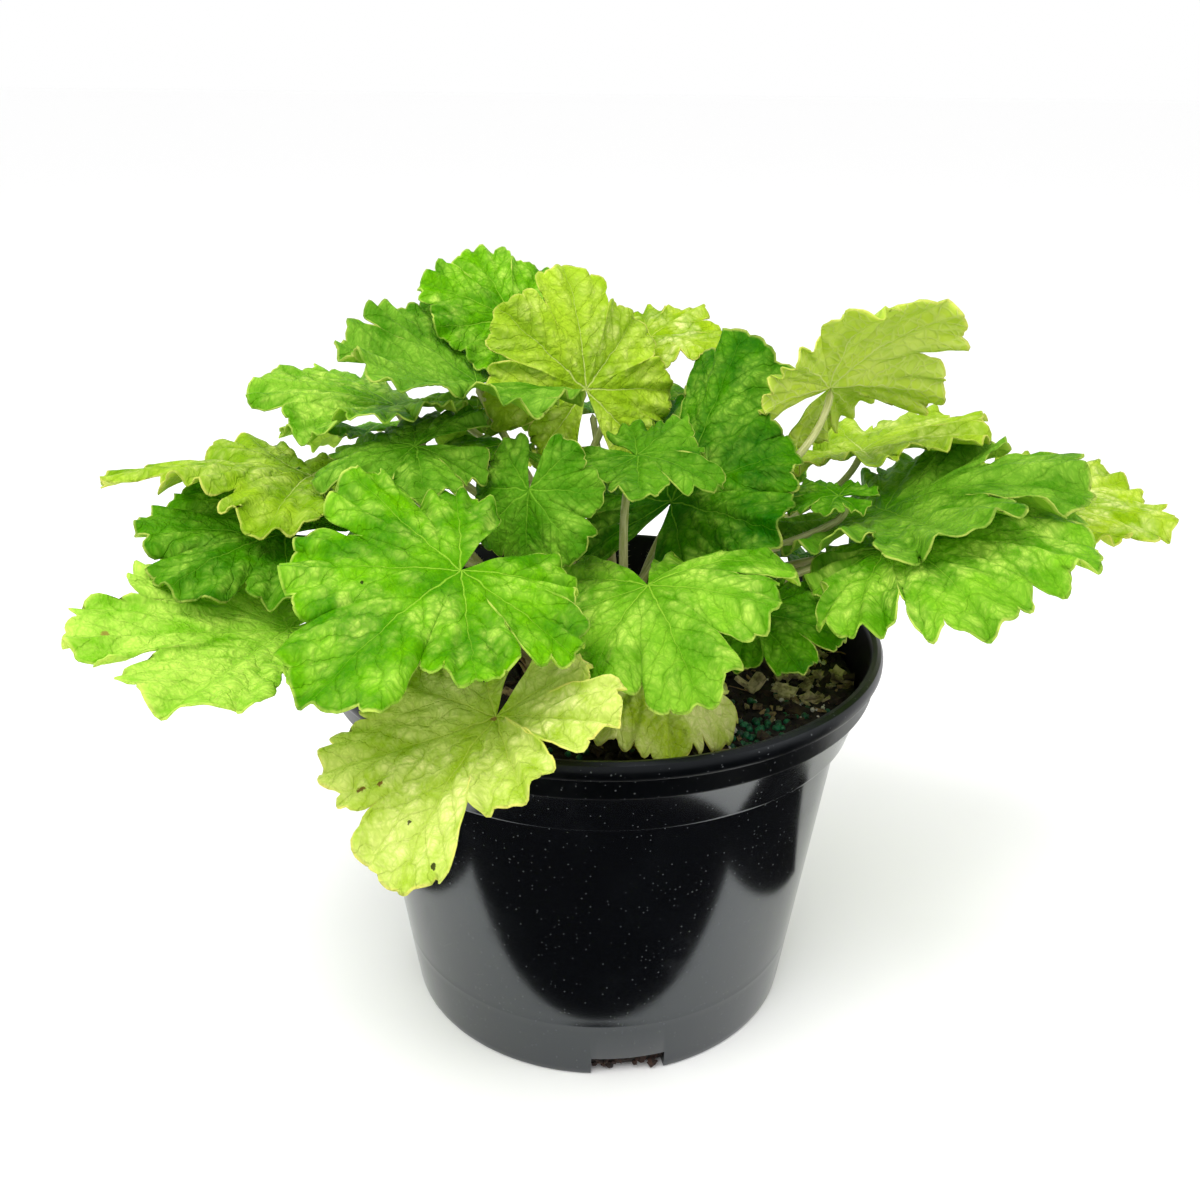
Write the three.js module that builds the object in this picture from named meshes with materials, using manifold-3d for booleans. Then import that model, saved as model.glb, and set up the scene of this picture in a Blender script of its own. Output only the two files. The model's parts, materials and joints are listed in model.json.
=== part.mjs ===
// A heuchera in its nursery pot: a squat black pot filled with bark compost, a low woody crown,
// and a dome of lobed, ruffled leaves. Each leaf is one piece with its own stalk, and each stalk
// stands in a socket of the crown. Millimetres, +Z up, the origin at the centre of the pot's foot.

import * as THREE from 'three';
import { mergeVertices } from 'three/addons/utils/BufferGeometryUtils.js';
import Module from 'manifold-3d';

const wasm = await Module();
wasm.setup();

// ---- driving dimensions -----------------------------------------------------------------------

const GAP = 0.35; // between neighbouring pieces
const ROUND_STEPS = 36; // sides of every turned piece

const POT_HEIGHT = 142;
const RIM_RADIUS = 100; // outside of the rolled rim
const RIM_DEPTH = 6; // height of the rolled rim
const COLLAR_RADIUS = 98; // the straight collar under the rim
const COLLAR_DEPTH = 7.5;
const BAND_RADIUS = 95.2; // the tapering band under the collar
const BAND_FOOT_RADIUS = 91;
const BAND_DEPTH = 15;
const WALL_RADIUS = 87.5; // top of the plain tapered wall
const FOOT_RADIUS = 72;
const WALL = 2;
const FLOOR = 2.4;

const NOTCH_COUNT = 4; // drain notches at the corner of wall and floor
const NOTCH_BEARING = -81.5; // degrees from +X to the first one
const NOTCH_WIDTH = 26;
const NOTCH_HEIGHT = 8;
const NOTCH_REACH = 58; // how near the axis the notch comes

const SOIL_LEVEL = 125;
const SOIL_LUMP = 1.4;
const CHIP_COUNT = 9;
const CHIP_DEPTH = 3.4;
const PRILL_COUNT = 8;
const PRILL_RADIUS = 2;

const CROWN_RADIUS = 30;
const CROWN_RISE = 5; // above the soil, at the centre
const CROWN_SINK = 10; // below the soil
const STALK_FOOT_Z = 121;
const SOCKET_SLACK = 0.8; // from the corners of a stalk to the corners of its hole

const STALK_RADIUS = 2; // at the crown
const STALK_TIP_RADIUS = 1.25; // under the blade
const STALK_TIP_SINK = 0.3; // the stalk ends this far under the blade's middle surface
const STALK_SIDES = 5;
const STALK_STEPS = 7;

const BLADE_HALF = 0.35; // half the blade's thickness
const BASAL_CUT = 0.3; // how far the cuts beside the stalk reach towards the hub
const USUAL_CUTS = [0.34, 0.38, 0.38, 0.38, 0.38, 0.34]; // the same for the cuts between lobes
const SINUS_POWER = 5; // lobes keep their width up to narrow cuts
const LOBE_TAPER = 0.12; // how far the sides of a lobe fall back from its tip
const SUBLOBE_DEPTH = 0.08;
const LOBE_FLARE = 0.24; // each lobe is widest outside its waist
const RUFFLE = 0.035;
const LOBE_CURL = 0.38; // how differently the lobes of one leaf bend
const LOBE_LIFT = 0.16;

// The seven lobes, from the right basal lobe round the tip to the left one: the angle of each
// main vein from the midrib, its length against the midrib's, and the cuts that bound them.
const LOBE_ANGLES = [-138, -92, -46, 0, 46, 92, 138];
const LOBE_LENGTHS = [0.68, 0.82, 0.94, 1, 0.94, 0.82, 0.68];
const CUT_ANGLES = [-166, -115, -69, -23, 23, 69, 115, 166];
const EDGE_STEPS = [-1, -2 / 3, -1 / 3, 0, 1 / 3, 2 / 3]; // across a lobe: cut, tooth, notch, tip ...
const RINGS = [0.38, 0.72]; // inner rings, as shares of the way from hub to edge

// ---- the leaves -------------------------------------------------------------------------------

// hub: where blade and stalk meet. heading: plan direction of the midrib, from +X, degrees.
// pitch: how far the midrib tips down. roll: how far the left half lifts. size: hub to tip.
// droop: how much the blade curls down on its way out. cup: how steeply it rises at the hub.
// foot: where the stalk leaves the crown. bow: a bend that takes the stalk round its neighbours.
// lobes: how long each of the seven lobes is against the usual. curls: how much more each of them
// bends down. cuts: how deep the six cuts between them go. seed: sets its small irregularities.
// tone: which of the four leaf colours it has.
const TONES = { lime: '#a2cb45', green: '#6cae2b', gold: '#bccb52', pale: '#a8c26a' };
const USUAL_CUP = 0.12;
const STRAIGHT = [0, 0, 0];
const LEAVES = [
  {
    name: 'leaf_front_left', seed: 1, tone: 'lime',
    hub: [-41, -80, 194], foot: [-4, -13], bow: [-3, 0, 0],
    heading: -125, pitch: 9, roll: -16, size: 55, droop: 0.4,
    cup: 0.1, lobes: [0.9, 1.05, 1, 1.08, 0.82, 0.95, 0.95],
    cuts: [0.3, 0.5, 0.25, 0.25, 0.6, 0.25],
  },
  {
    name: 'leaf_over_rim', seed: 2, tone: 'gold',
    hub: [-31, -90, 152], foot: [-10, -19],
    heading: -119, pitch: 28, roll: 6, size: 55, droop: 0.33,
    cup: 0.21, lobes: [1, 1, 1, 1.15, 0.75, 0.96, 0.87],
    cuts: [0.3, 0.3, 0.3, 0.25, 0.75, 0.35], curls: [0, 0, -0.31, 0.26, -0.11, 0.07, -0.15],
  },
  {
    name: 'leaf_front_right', seed: 3, tone: 'lime',
    hub: [14, -53, 179], foot: [4, -20],
    heading: -78, pitch: 3, roll: 19, size: 49, droop: 0.75,
    cup: 0.05, lobes: [1.15, 0.9, 0.95, 1.1, 0.9, 1.25, 1.1],
    cuts: [0.3, 0.38, 0.38, 0.38, 0.6, 0.38],
  },
  {
    name: 'leaf_in_pot_front', seed: 4, tone: 'gold',
    hub: [16, -50, 149], foot: [7, -15],
    heading: -75, pitch: 10, roll: -10, size: 36, droop: 0.7,
    cuts: [0.3, 0.2, 0.12, 0.12, 0.2, 0.3],
  },
  {
    name: 'leaf_in_pot_right', seed: 5, tone: 'green',
    hub: [50, -28, 159], foot: [13, -8],
    heading: -15, pitch: 5, roll: 17, size: 31, droop: 0.5,
  },
  {
    name: 'leaf_left_low', seed: 6, tone: 'lime',
    hub: [-98, -58, 165], foot: [-20, -10],
    heading: -148, pitch: 1, roll: -9, size: 62, droop: 0.25,
    cup: 0.2, lobes: [1, 1.27, 0.9, 1, 1.15, 1, 1],
    curls: [0, -0.37, 0, -0.02, -0.11, 0, 0],
  },
  {
    name: 'leaf_left_mid', seed: 7, tone: 'green',
    hub: [-105, -26, 185], foot: [-20, 8], bow: [-3, 0, -3],
    heading: 194, pitch: -10, roll: -12, size: 49, droop: 0.56,
    cup: 0.13, lobes: [1, 1, 1.05, 0.91, 1.07, 1, 1],
    curls: [0, 0, 0.12, -0.32, 0.22, 0, 0],
  },
  {
    name: 'leaf_left_far', seed: 8, tone: 'pale',
    hub: [-102, 3, 196], foot: [-14, 4], bow: [6, 3, 0],
    heading: 175, pitch: -8, roll: 9, size: 63, droop: 0.43,
    cup: 0.13, lobes: [1, 1, 0.95, 1.16, 0.9, 1, 1],
    curls: [0, 0, -0.31, -0.01, 0.28, 0, 0],
  },
  {
    name: 'leaf_left_top', seed: 9, tone: 'lime',
    hub: [-74, 19, 217], foot: [-14, -2], bow: [-3, 0, 0],
    heading: 175, pitch: -4, roll: 3, size: 50, droop: 0.38,
    cup: 0.14, lobes: [1, 1, 0.98, 1.09, 0.9, 1, 1],
    curls: [0, 0, -0.17, 0.18, -0.15, 0, 0],
  },
  {
    name: 'leaf_left_curled', seed: 10, tone: 'green',
    hub: [-62, -18, 213], foot: [-12, 19],
    heading: -170, pitch: 9, roll: -12, size: 42, droop: 0.6,
    cup: 0.15, lobes: [1, 1, 0.91, 0.92, 0.92, 1.02, 1],
    curls: [0, 0, -0.33, 0.35, -0.25, 0.03, 0],
  },
  {
    name: 'leaf_centre_small', seed: 11, tone: 'green',
    hub: [-24, -32, 203], foot: [-10, -9], bow: [3, 0, 0],
    heading: -105, pitch: 58, roll: 5, size: 30, droop: 0.7,
  },
  {
    name: 'leaf_top_left_big', seed: 12, tone: 'green',
    hub: [-45, 17, 226], foot: [-8, 23], bow: [0, 6, 0],
    heading: 199, pitch: -13, roll: -3, size: 57, droop: 0.1,
    cup: 0.24, lobes: [1, 1.14, 0.86, 0.92, 1.13, 1, 1],
    curls: [0, -0.2, 0, -0.13, -0.39, 0, 0],
  },
  {
    name: 'leaf_top_left_back', seed: 13, tone: 'lime',
    hub: [-34, 51, 242], foot: [-11, 12],
    heading: 172, pitch: -15, roll: -28, size: 40, droop: 0.24,
    cup: 0.22, lobes: [1, 1.03, 0.92, 0.97, 0.95, 1, 1],
    curls: [0, -0.44, -0.05, 0.32, -0.24, 0, 0],
  },
  {
    name: 'leaf_top_back_turned', seed: 14, tone: 'pale',
    hub: [-7, 31, 221], foot: [-9, 7],
    heading: 106, pitch: -74, roll: 12, size: 45, droop: 0.2,
  },
  {
    name: 'leaf_top_right_edge', seed: 15, tone: 'gold',
    hub: [18, 78, 231], foot: [-15, -15],
    heading: 3, pitch: -6, roll: 5, size: 35, droop: 0.25,
    cup: 0.15, lobes: [1, 1, 1, 0.89, 0.96, 1, 1],
    curls: [0, 0, 0, -0.18, 0.06, -0.08, 0],
  },
  {
    name: 'leaf_right_centre', seed: 16, tone: 'green',
    hub: [24, 9, 186], foot: [0, 4],
    heading: 48, pitch: -47, roll: -11, size: 60, droop: 0.43,
    cup: 0.13, lobes: [1, 0.98, 0.86, 1.13, 1, 1, 1],
    curls: [0, -0.23, 0.39, -0.24, 0.05, 0, 0],
  },
  {
    name: 'leaf_centre_right_small', seed: 17, tone: 'green',
    hub: [11, -9, 208], foot: [7, -9],
    heading: -45, pitch: -2, roll: 10, size: 32, droop: 0.38,
    cup: 0.14, lobes: [1, 1, 1, 1.05, 0.75, 1, 1],
    curls: [0, 0, -0.04, -0.02, -0.08, 0, 0],
  },
  {
    name: 'leaf_right_top', seed: 18, tone: 'pale',
    hub: [80, 25, 224], foot: [13, 8],
    heading: -5, pitch: -43, roll: -45, size: 48, droop: 0.6,
    lobes: [0.85, 0.85, 1, 1.05, 0.95, 0.8, 0.9],
  },
  {
    name: 'leaf_right_back', seed: 19, tone: 'pale',
    hub: [101, 60, 191], foot: [14, 19],
    heading: 2, pitch: -19, roll: -10, size: 51, droop: 0.39,
    cup: 0.13, lobes: [1, 1, 1.05, 0.92, 1.04, 1, 1],
    curls: [0, 0, -0.14, 0.04, -0.03, 0, 0],
  },
  {
    name: 'leaf_right_big', seed: 20, tone: 'lime',
    hub: [97, -17, 180], foot: [22, -10],
    heading: -32, pitch: -26, roll: 8, size: 64, droop: 0.8,
    lobes: [0.7, 0.85, 1, 1.1, 1.1, 1, 0.95],
    cuts: [0.3, 0.45, 0.38, 0.38, 0.38, 0.38],
  },
  {
    name: 'leaf_right_upper', seed: 21, tone: 'green',
    hub: [103, 20, 180], foot: [23, -4], bow: [0, 3, 0],
    heading: -36, pitch: -25, roll: 12, size: 68, droop: 0.37,
    cup: 0.18, lobes: [1, 1, 1.19, 1.08, 0.75, 1.17, 1],
    curls: [0, 0, -0.14, 0.21, -0.4, 0.18, 0],
  },
  {
    name: 'leaf_right_far', seed: 22, tone: 'gold',
    hub: [157, 40, 176], foot: [22, 3], bow: [3, -3, 0],
    heading: -25, pitch: 3, roll: 6, size: 54, droop: 0.37,
    cup: 0.14, lobes: [1, 1, 0.97, 1.08, 1, 1, 1],
    curls: [0, 0, -0.11, 0.15, -0.2, 0, 0],
  },
  {
    name: 'leaf_right_tiny', seed: 23, tone: 'green',
    hub: [81, -1, 192], foot: [10, 1], bow: [0, 0, 15],
    heading: 155, pitch: 5, roll: 0, size: 22, droop: 0.4,
  },
  {
    name: 'leaf_mid_left_small', seed: 24, tone: 'lime',
    hub: [-35, 2, 208], foot: [-4, -5],
    heading: 140, pitch: -10, roll: 15, size: 28, droop: 0.7,
  },
  {
    name: 'leaf_mid_left_low', seed: 25, tone: 'green',
    hub: [-45, 36, 193], foot: [-17, 14], bow: [0, -3, 0],
    heading: 150, pitch: 5, roll: 0, size: 28, droop: 0.5,
  },
  {
    name: 'leaf_back_middle', seed: 27, tone: 'green',
    hub: [-5, 88, 198], foot: [4, 18],
    heading: 95, pitch: 10, roll: -5, size: 52, droop: 0.4,
  },
  {
    name: 'leaf_back_right', seed: 28, tone: 'lime',
    hub: [46, 81, 196], foot: [21, 12],
    heading: 60, pitch: 10, roll: 20, size: 50, droop: 0.4,
  },
  {
    name: 'leaf_back_left', seed: 29, tone: 'green',
    hub: [-56, 72, 197], foot: [-4, 16], bow: [6, 0, 0],
    heading: 145, pitch: 27, roll: 0, size: 46, droop: 0.4,
  },
  {
    name: 'leaf_back_far_left', seed: 30, tone: 'lime',
    hub: [-91, 56, 198], foot: [-24, -4], bow: [3, 3, 3],
    heading: 130, pitch: 0, roll: 10, size: 36, droop: 0.3,
  },
  {
    name: 'leaf_back_low_left', seed: 32, tone: 'gold',
    hub: [-40, 93, 179], foot: [7, 6],
    heading: 112, pitch: 18, roll: 0, size: 44, droop: 0.4,
  },
  {
    name: 'leaf_back_low_right', seed: 33, tone: 'green',
    hub: [39, 97, 177], foot: [9, 14], bow: [0, -3, 0],
    heading: 70, pitch: 13, roll: 0, size: 44, droop: 0.4,
  },
  {
    name: 'leaf_left_under', seed: 34, tone: 'green',
    hub: [-95, 15, 159], foot: [-23, 2],
    heading: 178, pitch: 15, roll: 0, size: 40, droop: 0.5,
  },
  {
    name: 'leaf_right_under', seed: 35, tone: 'green',
    hub: [76, 43, 153], foot: [6, 23], bow: [3, -3, 0],
    heading: 20, pitch: 10, roll: 0, size: 34, droop: 0.5,
  },
];

// ---- helpers ----------------------------------------------------------------------------------

const radians = THREE.MathUtils.degToRad;

// A repeatable number from -1 to 1 for each pair of whole numbers.
function scatter(seed, n) {
  const v = Math.sin(seed * 127.1 + n * 311.7) * 43758.5453;
  return (v - Math.floor(v)) * 2 - 1;
}

// A closed three.js geometry as a manifold solid, facing outwards.
function solid(geometry) {
  const bare = new THREE.BufferGeometry();
  bare.setAttribute('position', geometry.getAttribute('position'));
  bare.setIndex(geometry.index);
  const merged = mergeVertices(bare, 1e-3);
  const triVerts = Uint32Array.from(withoutSlivers(merged.index.array));
  const vertProperties = merged.attributes.position.array;
  const made = new wasm.Manifold(new wasm.Mesh({ numProp: 3, vertProperties, triVerts }));
  if (made.volume() > 0) return made;
  triVerts.reverse();
  return new wasm.Manifold(new wasm.Mesh({ numProp: 3, vertProperties, triVerts }));
}

// Triangles that lost an edge where a profile meets the axis.
function withoutSlivers(index) {
  const kept = [];
  for (let i = 0; i < index.length; i += 3) {
    const [a, b, c] = index.slice(i, i + 3);
    if (a !== b && b !== c && c !== a) kept.push(a, b, c);
  }
  return kept;
}

function geometryOf(made) {
  const mesh = made.getMesh();
  const geometry = new THREE.BufferGeometry();
  geometry.setAttribute('position', new THREE.BufferAttribute(mesh.vertProperties, 3));
  geometry.setIndex(new THREE.BufferAttribute(mesh.triVerts, 1));
  geometry.computeVertexNormals();
  return geometry;
}

function meshOf(name, made, material) {
  const mesh = new THREE.Mesh(geometryOf(made), material);
  mesh.name = name;
  return mesh;
}

// A profile of [radius, height] points, from axis to axis, turned about +Z.
function turned(profile, sides = ROUND_STEPS) {
  const points = profile.map(([r, z]) => new THREE.Vector2(r, z));
  return new THREE.LatheGeometry(points, sides).rotateX(Math.PI / 2);
}

// ---- pot --------------------------------------------------------------------------------------

const RIM_FOOT = POT_HEIGHT - RIM_DEPTH;
const COLLAR_FOOT = RIM_FOOT - COLLAR_DEPTH;
const BAND_FOOT = COLLAR_FOOT - BAND_DEPTH;

function potProfile() {
  return [
    [0, 0],
    [FOOT_RADIUS, 0],
    [WALL_RADIUS, BAND_FOOT],
    [BAND_FOOT_RADIUS, BAND_FOOT + 0.6],
    [BAND_RADIUS, COLLAR_FOOT],
    [COLLAR_RADIUS - 0.8, COLLAR_FOOT + 0.6],
    [COLLAR_RADIUS, RIM_FOOT],
    [RIM_RADIUS - 0.4, RIM_FOOT + 0.6],
    [RIM_RADIUS, RIM_FOOT + RIM_DEPTH / 2],
    [RIM_RADIUS - 1.6, POT_HEIGHT - 0.4],
    [RIM_RADIUS - 3, POT_HEIGHT],
    [RIM_RADIUS - 4.8, POT_HEIGHT - 2],
    [BAND_RADIUS - WALL, COLLAR_FOOT],
    [BAND_FOOT_RADIUS - WALL, BAND_FOOT + 1],
    [WALL_RADIUS - WALL, BAND_FOOT - 1],
    [FOOT_RADIUS - WALL, FLOOR],
    [0, FLOOR],
  ];
}

function drainNotch(bearing) {
  const outer = FOOT_RADIUS + 8;
  const depth = outer - NOTCH_REACH;
  const box = new THREE.BoxGeometry(depth, NOTCH_WIDTH, 2 * NOTCH_HEIGHT);
  box.translate(NOTCH_REACH + depth / 2, 0, 0);
  return solid(box.rotateZ(radians(bearing)));
}

function makePot() {
  let pot = solid(turned(potProfile()));
  for (let i = 0; i < NOTCH_COUNT; i += 1) {
    pot = pot.subtract(drainNotch(NOTCH_BEARING + (i * 360) / NOTCH_COUNT));
  }
  const plastic = new THREE.MeshStandardMaterial({ color: '#17181b', roughness: 0.32 });
  return meshOf('pot', pot, plastic);
}

// ---- soil -------------------------------------------------------------------------------------

const SOCKET_RADIUS = CROWN_RADIUS + GAP;

function soilProfile() {
  const bandTop = BAND_FOOT + 1.4;
  const slope = (BAND_RADIUS - BAND_FOOT_RADIUS) / BAND_DEPTH;
  const edge = BAND_FOOT_RADIUS + slope * (SOIL_LEVEL - BAND_FOOT) - WALL - GAP - 0.3;
  return [
    [0, FLOOR + GAP],
    [FOOT_RADIUS - WALL - GAP, FLOOR + GAP],
    [WALL_RADIUS - WALL - GAP, BAND_FOOT - 1],
    [BAND_FOOT_RADIUS - WALL - GAP - 0.2, bandTop],
    [edge, SOIL_LEVEL - SOIL_LUMP],
    [edge - 12, SOIL_LEVEL],
    [edge - 26, SOIL_LEVEL],
    [edge - 42, SOIL_LEVEL],
    [SOCKET_RADIUS, SOIL_LEVEL],
    [SOCKET_RADIUS, SOIL_LEVEL - CROWN_SINK],
    [0, SOIL_LEVEL - CROWN_SINK],
  ];
}

// The height of the uneven top of the soil.
function soilHeight(x, y) {
  const lump = Math.sin(x * 0.31 + 1) * Math.cos(y * 0.27) + Math.sin(x * 0.13 - y * 0.17);
  return SOIL_LEVEL + (SOIL_LUMP * lump) / 2;
}

// Gives the level top of the turned soil its lumps, the same on both sides of the seam.
function lumpy(geometry) {
  const position = geometry.getAttribute('position');
  for (let i = 0; i < position.count; i += 1) {
    const x = Math.round(position.getX(i) * 10) / 10;
    const y = Math.round(position.getY(i) * 10) / 10;
    const level = Math.abs(position.getZ(i) - SOIL_LEVEL) < 0.01;
    if (level && Math.hypot(x, y) > SOCKET_RADIUS + 1) position.setZ(i, soilHeight(x, y));
  }
  return geometry;
}

// A place on the soil between the crown and the wall, from a sunflower spiral.
function soilSpot(i, count, shift) {
  const share = (i + 0.5) / count;
  const radius = SOCKET_RADIUS + 6 + (RIM_RADIUS - SOCKET_RADIUS - 22) * Math.sqrt(share);
  const angle = radians(137.5 * i + shift);
  return [radius * Math.cos(angle), radius * Math.sin(angle)];
}

function barkChip(i) {
  const length = 9 + 3 * scatter(i, 1);
  const width = 6 + 2 * scatter(i, 2);
  const chip = new THREE.BoxGeometry(length, width, CHIP_DEPTH);
  chip.rotateY(0.3 * scatter(i, 3));
  chip.rotateZ(Math.PI * scatter(i, 4));
  const [x, y] = soilSpot(i, CHIP_COUNT, 20);
  return solid(chip.translate(x, y, soilHeight(x, y) + CHIP_DEPTH / 4));
}

function prill(i) {
  const ball = new THREE.IcosahedronGeometry(PRILL_RADIUS, 0);
  const [x, y] = soilSpot(i, PRILL_COUNT, 75);
  return solid(ball.translate(x, y, soilHeight(x, y) + PRILL_RADIUS / 4));
}

function makeSoil() {
  let soil = solid(lumpy(turned(soilProfile())));
  for (let i = 0; i < CHIP_COUNT; i += 1) soil = soil.add(barkChip(i));
  for (let i = 0; i < PRILL_COUNT; i += 1) soil = soil.add(prill(i));
  const compost = new THREE.MeshStandardMaterial({ color: '#2b211a', roughness: 0.95 });
  return meshOf('soil', soil, compost);
}

// ---- stalks and crown -------------------------------------------------------------------------

// The frame of a blade: its X axis along the midrib, its Z axis out of the upper face.
function bladeFrame(leaf) {
  const heading = radians(leaf.heading);
  const pitch = radians(leaf.pitch);
  const along = new THREE.Vector3(
    Math.cos(heading) * Math.cos(pitch),
    Math.sin(heading) * Math.cos(pitch),
    -Math.sin(pitch),
  );
  const level = new THREE.Vector3(-Math.sin(heading), Math.cos(heading), 0);
  const left = level.applyAxisAngle(along, radians(leaf.roll));
  const up = new THREE.Vector3().crossVectors(along, left);
  return { along, left, up };
}

// A stalk rises out of the crown, arches and meets the hub from below and behind.
function stalkCurve(leaf) {
  const { along, up } = bladeFrame(leaf);
  const foot = new THREE.Vector3(leaf.foot[0], leaf.foot[1], STALK_FOOT_Z);
  const tip = new THREE.Vector3(...leaf.hub).addScaledVector(up, -STALK_TIP_SINK);
  const length = tip.distanceTo(foot);
  const bow = new THREE.Vector3(...(leaf.bow ?? STRAIGHT)).multiplyScalar(0.6);
  const rise = foot.clone().add(new THREE.Vector3(foot.x, foot.y, 0).multiplyScalar(0.35));
  rise.z += 0.42 * length;
  const arrive = tip.clone();
  arrive.addScaledVector(along, -0.176 * length).addScaledVector(up, -0.24 * length);
  return new THREE.CubicBezierCurve3(foot, rise.add(bow), arrive.add(bow), tip);
}

function ringShape(radius) {
  const corners = [];
  for (let i = 0; i < STALK_SIDES; i += 1) {
    const angle = (2 * Math.PI * i) / STALK_SIDES;
    corners.push(new THREE.Vector2(radius * Math.cos(angle), radius * Math.sin(angle)));
  }
  return new THREE.Shape(corners);
}

// Draws each ring of an extruded tube in towards the curve, more towards its end.
function tapered(tube, curve, endShare) {
  const centres = curve.getSpacedPoints(STALK_STEPS);
  const position = tube.getAttribute('position');
  const point = new THREE.Vector3();
  for (let i = 0; i < position.count; i += 1) {
    point.fromBufferAttribute(position, i);
    const away = centres.map((centre) => centre.distanceTo(point));
    const ring = away.indexOf(Math.min(...away));
    const share = 1 + ((endShare - 1) * ring) / STALK_STEPS;
    point.sub(centres[ring]).multiplyScalar(share).add(centres[ring]);
    position.setXYZ(i, point.x, point.y, point.z);
  }
  return tube;
}

function stalkSolid(leaf) {
  const curve = stalkCurve(leaf);
  const options = { steps: STALK_STEPS, extrudePath: curve, bevelEnabled: false };
  const tube = new THREE.ExtrudeGeometry(ringShape(STALK_RADIUS), options);
  return solid(tapered(tube, curve, STALK_TIP_RADIUS / STALK_RADIUS));
}

// The hole that a stalk stands in: a wider tube along its first stretches, from just below its foot.
function socketSolid(leaf) {
  const curve = stalkCurve(leaf);
  const foot = curve.getPointAt(0);
  const first = curve.getPointAt(1 / STALK_STEPS);
  const second = curve.getPointAt(2 / STALK_STEPS);
  const down = foot.clone().sub(first).normalize();
  const path = new THREE.CatmullRomCurve3([foot.addScaledVector(down, 3 * GAP), first, second]);
  const options = { steps: 2, extrudePath: path, bevelEnabled: false };
  return solid(new THREE.ExtrudeGeometry(ringShape(STALK_RADIUS + SOCKET_SLACK), options));
}

function makeCrown() {
  const base = SOIL_LEVEL - CROWN_SINK + GAP;
  let crown = solid(turned([
    [0, base],
    [CROWN_RADIUS, base],
    [CROWN_RADIUS, SOIL_LEVEL - 2],
    [0.72 * CROWN_RADIUS, SOIL_LEVEL + 0.6 * CROWN_RISE],
    [0, SOIL_LEVEL + CROWN_RISE],
  ], ROUND_STEPS / 2));
  for (const leaf of LEAVES) crown = crown.subtract(socketSolid(leaf));
  const wood = new THREE.MeshStandardMaterial({ color: '#6d5138', roughness: 0.85 });
  return meshOf('crown', crown, wood);
}

// ---- blades -----------------------------------------------------------------------------------

// Blends seven values, one for each lobe, smoothly round the hub.
function roundTheLobes(values, angle) {
  const at = LOBE_ANGLES.map(radians);
  if (angle <= at[0]) return values[0];
  for (let k = 1; k < at.length; k += 1) {
    if (angle <= at[k]) {
      const share = (angle - at[k - 1]) / (at[k] - at[k - 1]);
      return THREE.MathUtils.lerp(values[k - 1], values[k], share * share * (3 - 2 * share));
    }
  }
  return values[values.length - 1];
}

// How far the edge lies from the hub in lobe k, across which u runs from -1 to 1.
function edgeReach(leaf, k, u) {
  const across = Math.abs(u);
  const cuts = [BASAL_CUT, ...(leaf.cuts ?? USUAL_CUTS), BASAL_CUT];
  const cut = cuts[u < 0 ? k : k + 1] - LOBE_TAPER;
  const lobe = 1 - LOBE_TAPER * across ** 2 - cut * across ** SINUS_POWER;
  const tooth = Math.abs(Math.cos(1.5 * Math.PI * u)) ** 0.7 - 1;
  const length = LOBE_LENGTHS[k] * (leaf.lobes ? leaf.lobes[k] : 1);
  const own = 1 + 0.07 * scatter(leaf.seed, 10 + k);
  return length * own * (lobe + SUBLOBE_DEPTH * tooth * (1 - 0.35 * across));
}

function edgeAngle(k, u, share) {
  const centre = radians(LOBE_ANGLES[k]);
  const left = u < 0;
  const half = Math.abs(radians(CUT_ANGLES[left ? k : k + 1]) - centre);
  return centre + half * (u + LOBE_FLARE * Math.sin(Math.PI * u) * share * share);
}

// A point of the curled blade in its own frame: each radius from the hub bends in an arc.
function bladePoint(leaf, k, u, share) {
  const angle = edgeAngle(k, u, share);
  const distance = edgeReach(leaf, k, u) * share;
  const lifts = LOBE_ANGLES.map((_, n) => LOBE_LIFT * scatter(leaf.seed, 50 + n));
  const ownCurls = leaf.curls ?? LOBE_ANGLES.map(() => 0);
  const curls = ownCurls.map((own, n) => own + LOBE_CURL * scatter(leaf.seed, 30 + n));
  const rise = (leaf.cup ?? USUAL_CUP) + roundTheLobes(lifts, angle);
  const arch = 0.15 * Math.max(0, Math.cos(angle));
  const bend = Math.min(-0.001, -(leaf.droop + arch + roundTheLobes(curls, angle)));
  const out = (Math.sin(rise + bend * distance) - Math.sin(rise)) / bend;
  const up = (Math.cos(rise) - Math.cos(rise + bend * distance)) / bend;
  const wave = Math.sin(7 * angle + 3 * scatter(leaf.seed, 70));
  const ripple = 0.6 * Math.sin(13 * angle + 3 * scatter(leaf.seed, 71));
  return new THREE.Vector3(
    out * Math.cos(angle),
    out * Math.sin(angle),
    up + RUFFLE * share ** 2.5 * (wave + ripple),
  ).multiplyScalar(leaf.size);
}

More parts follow.
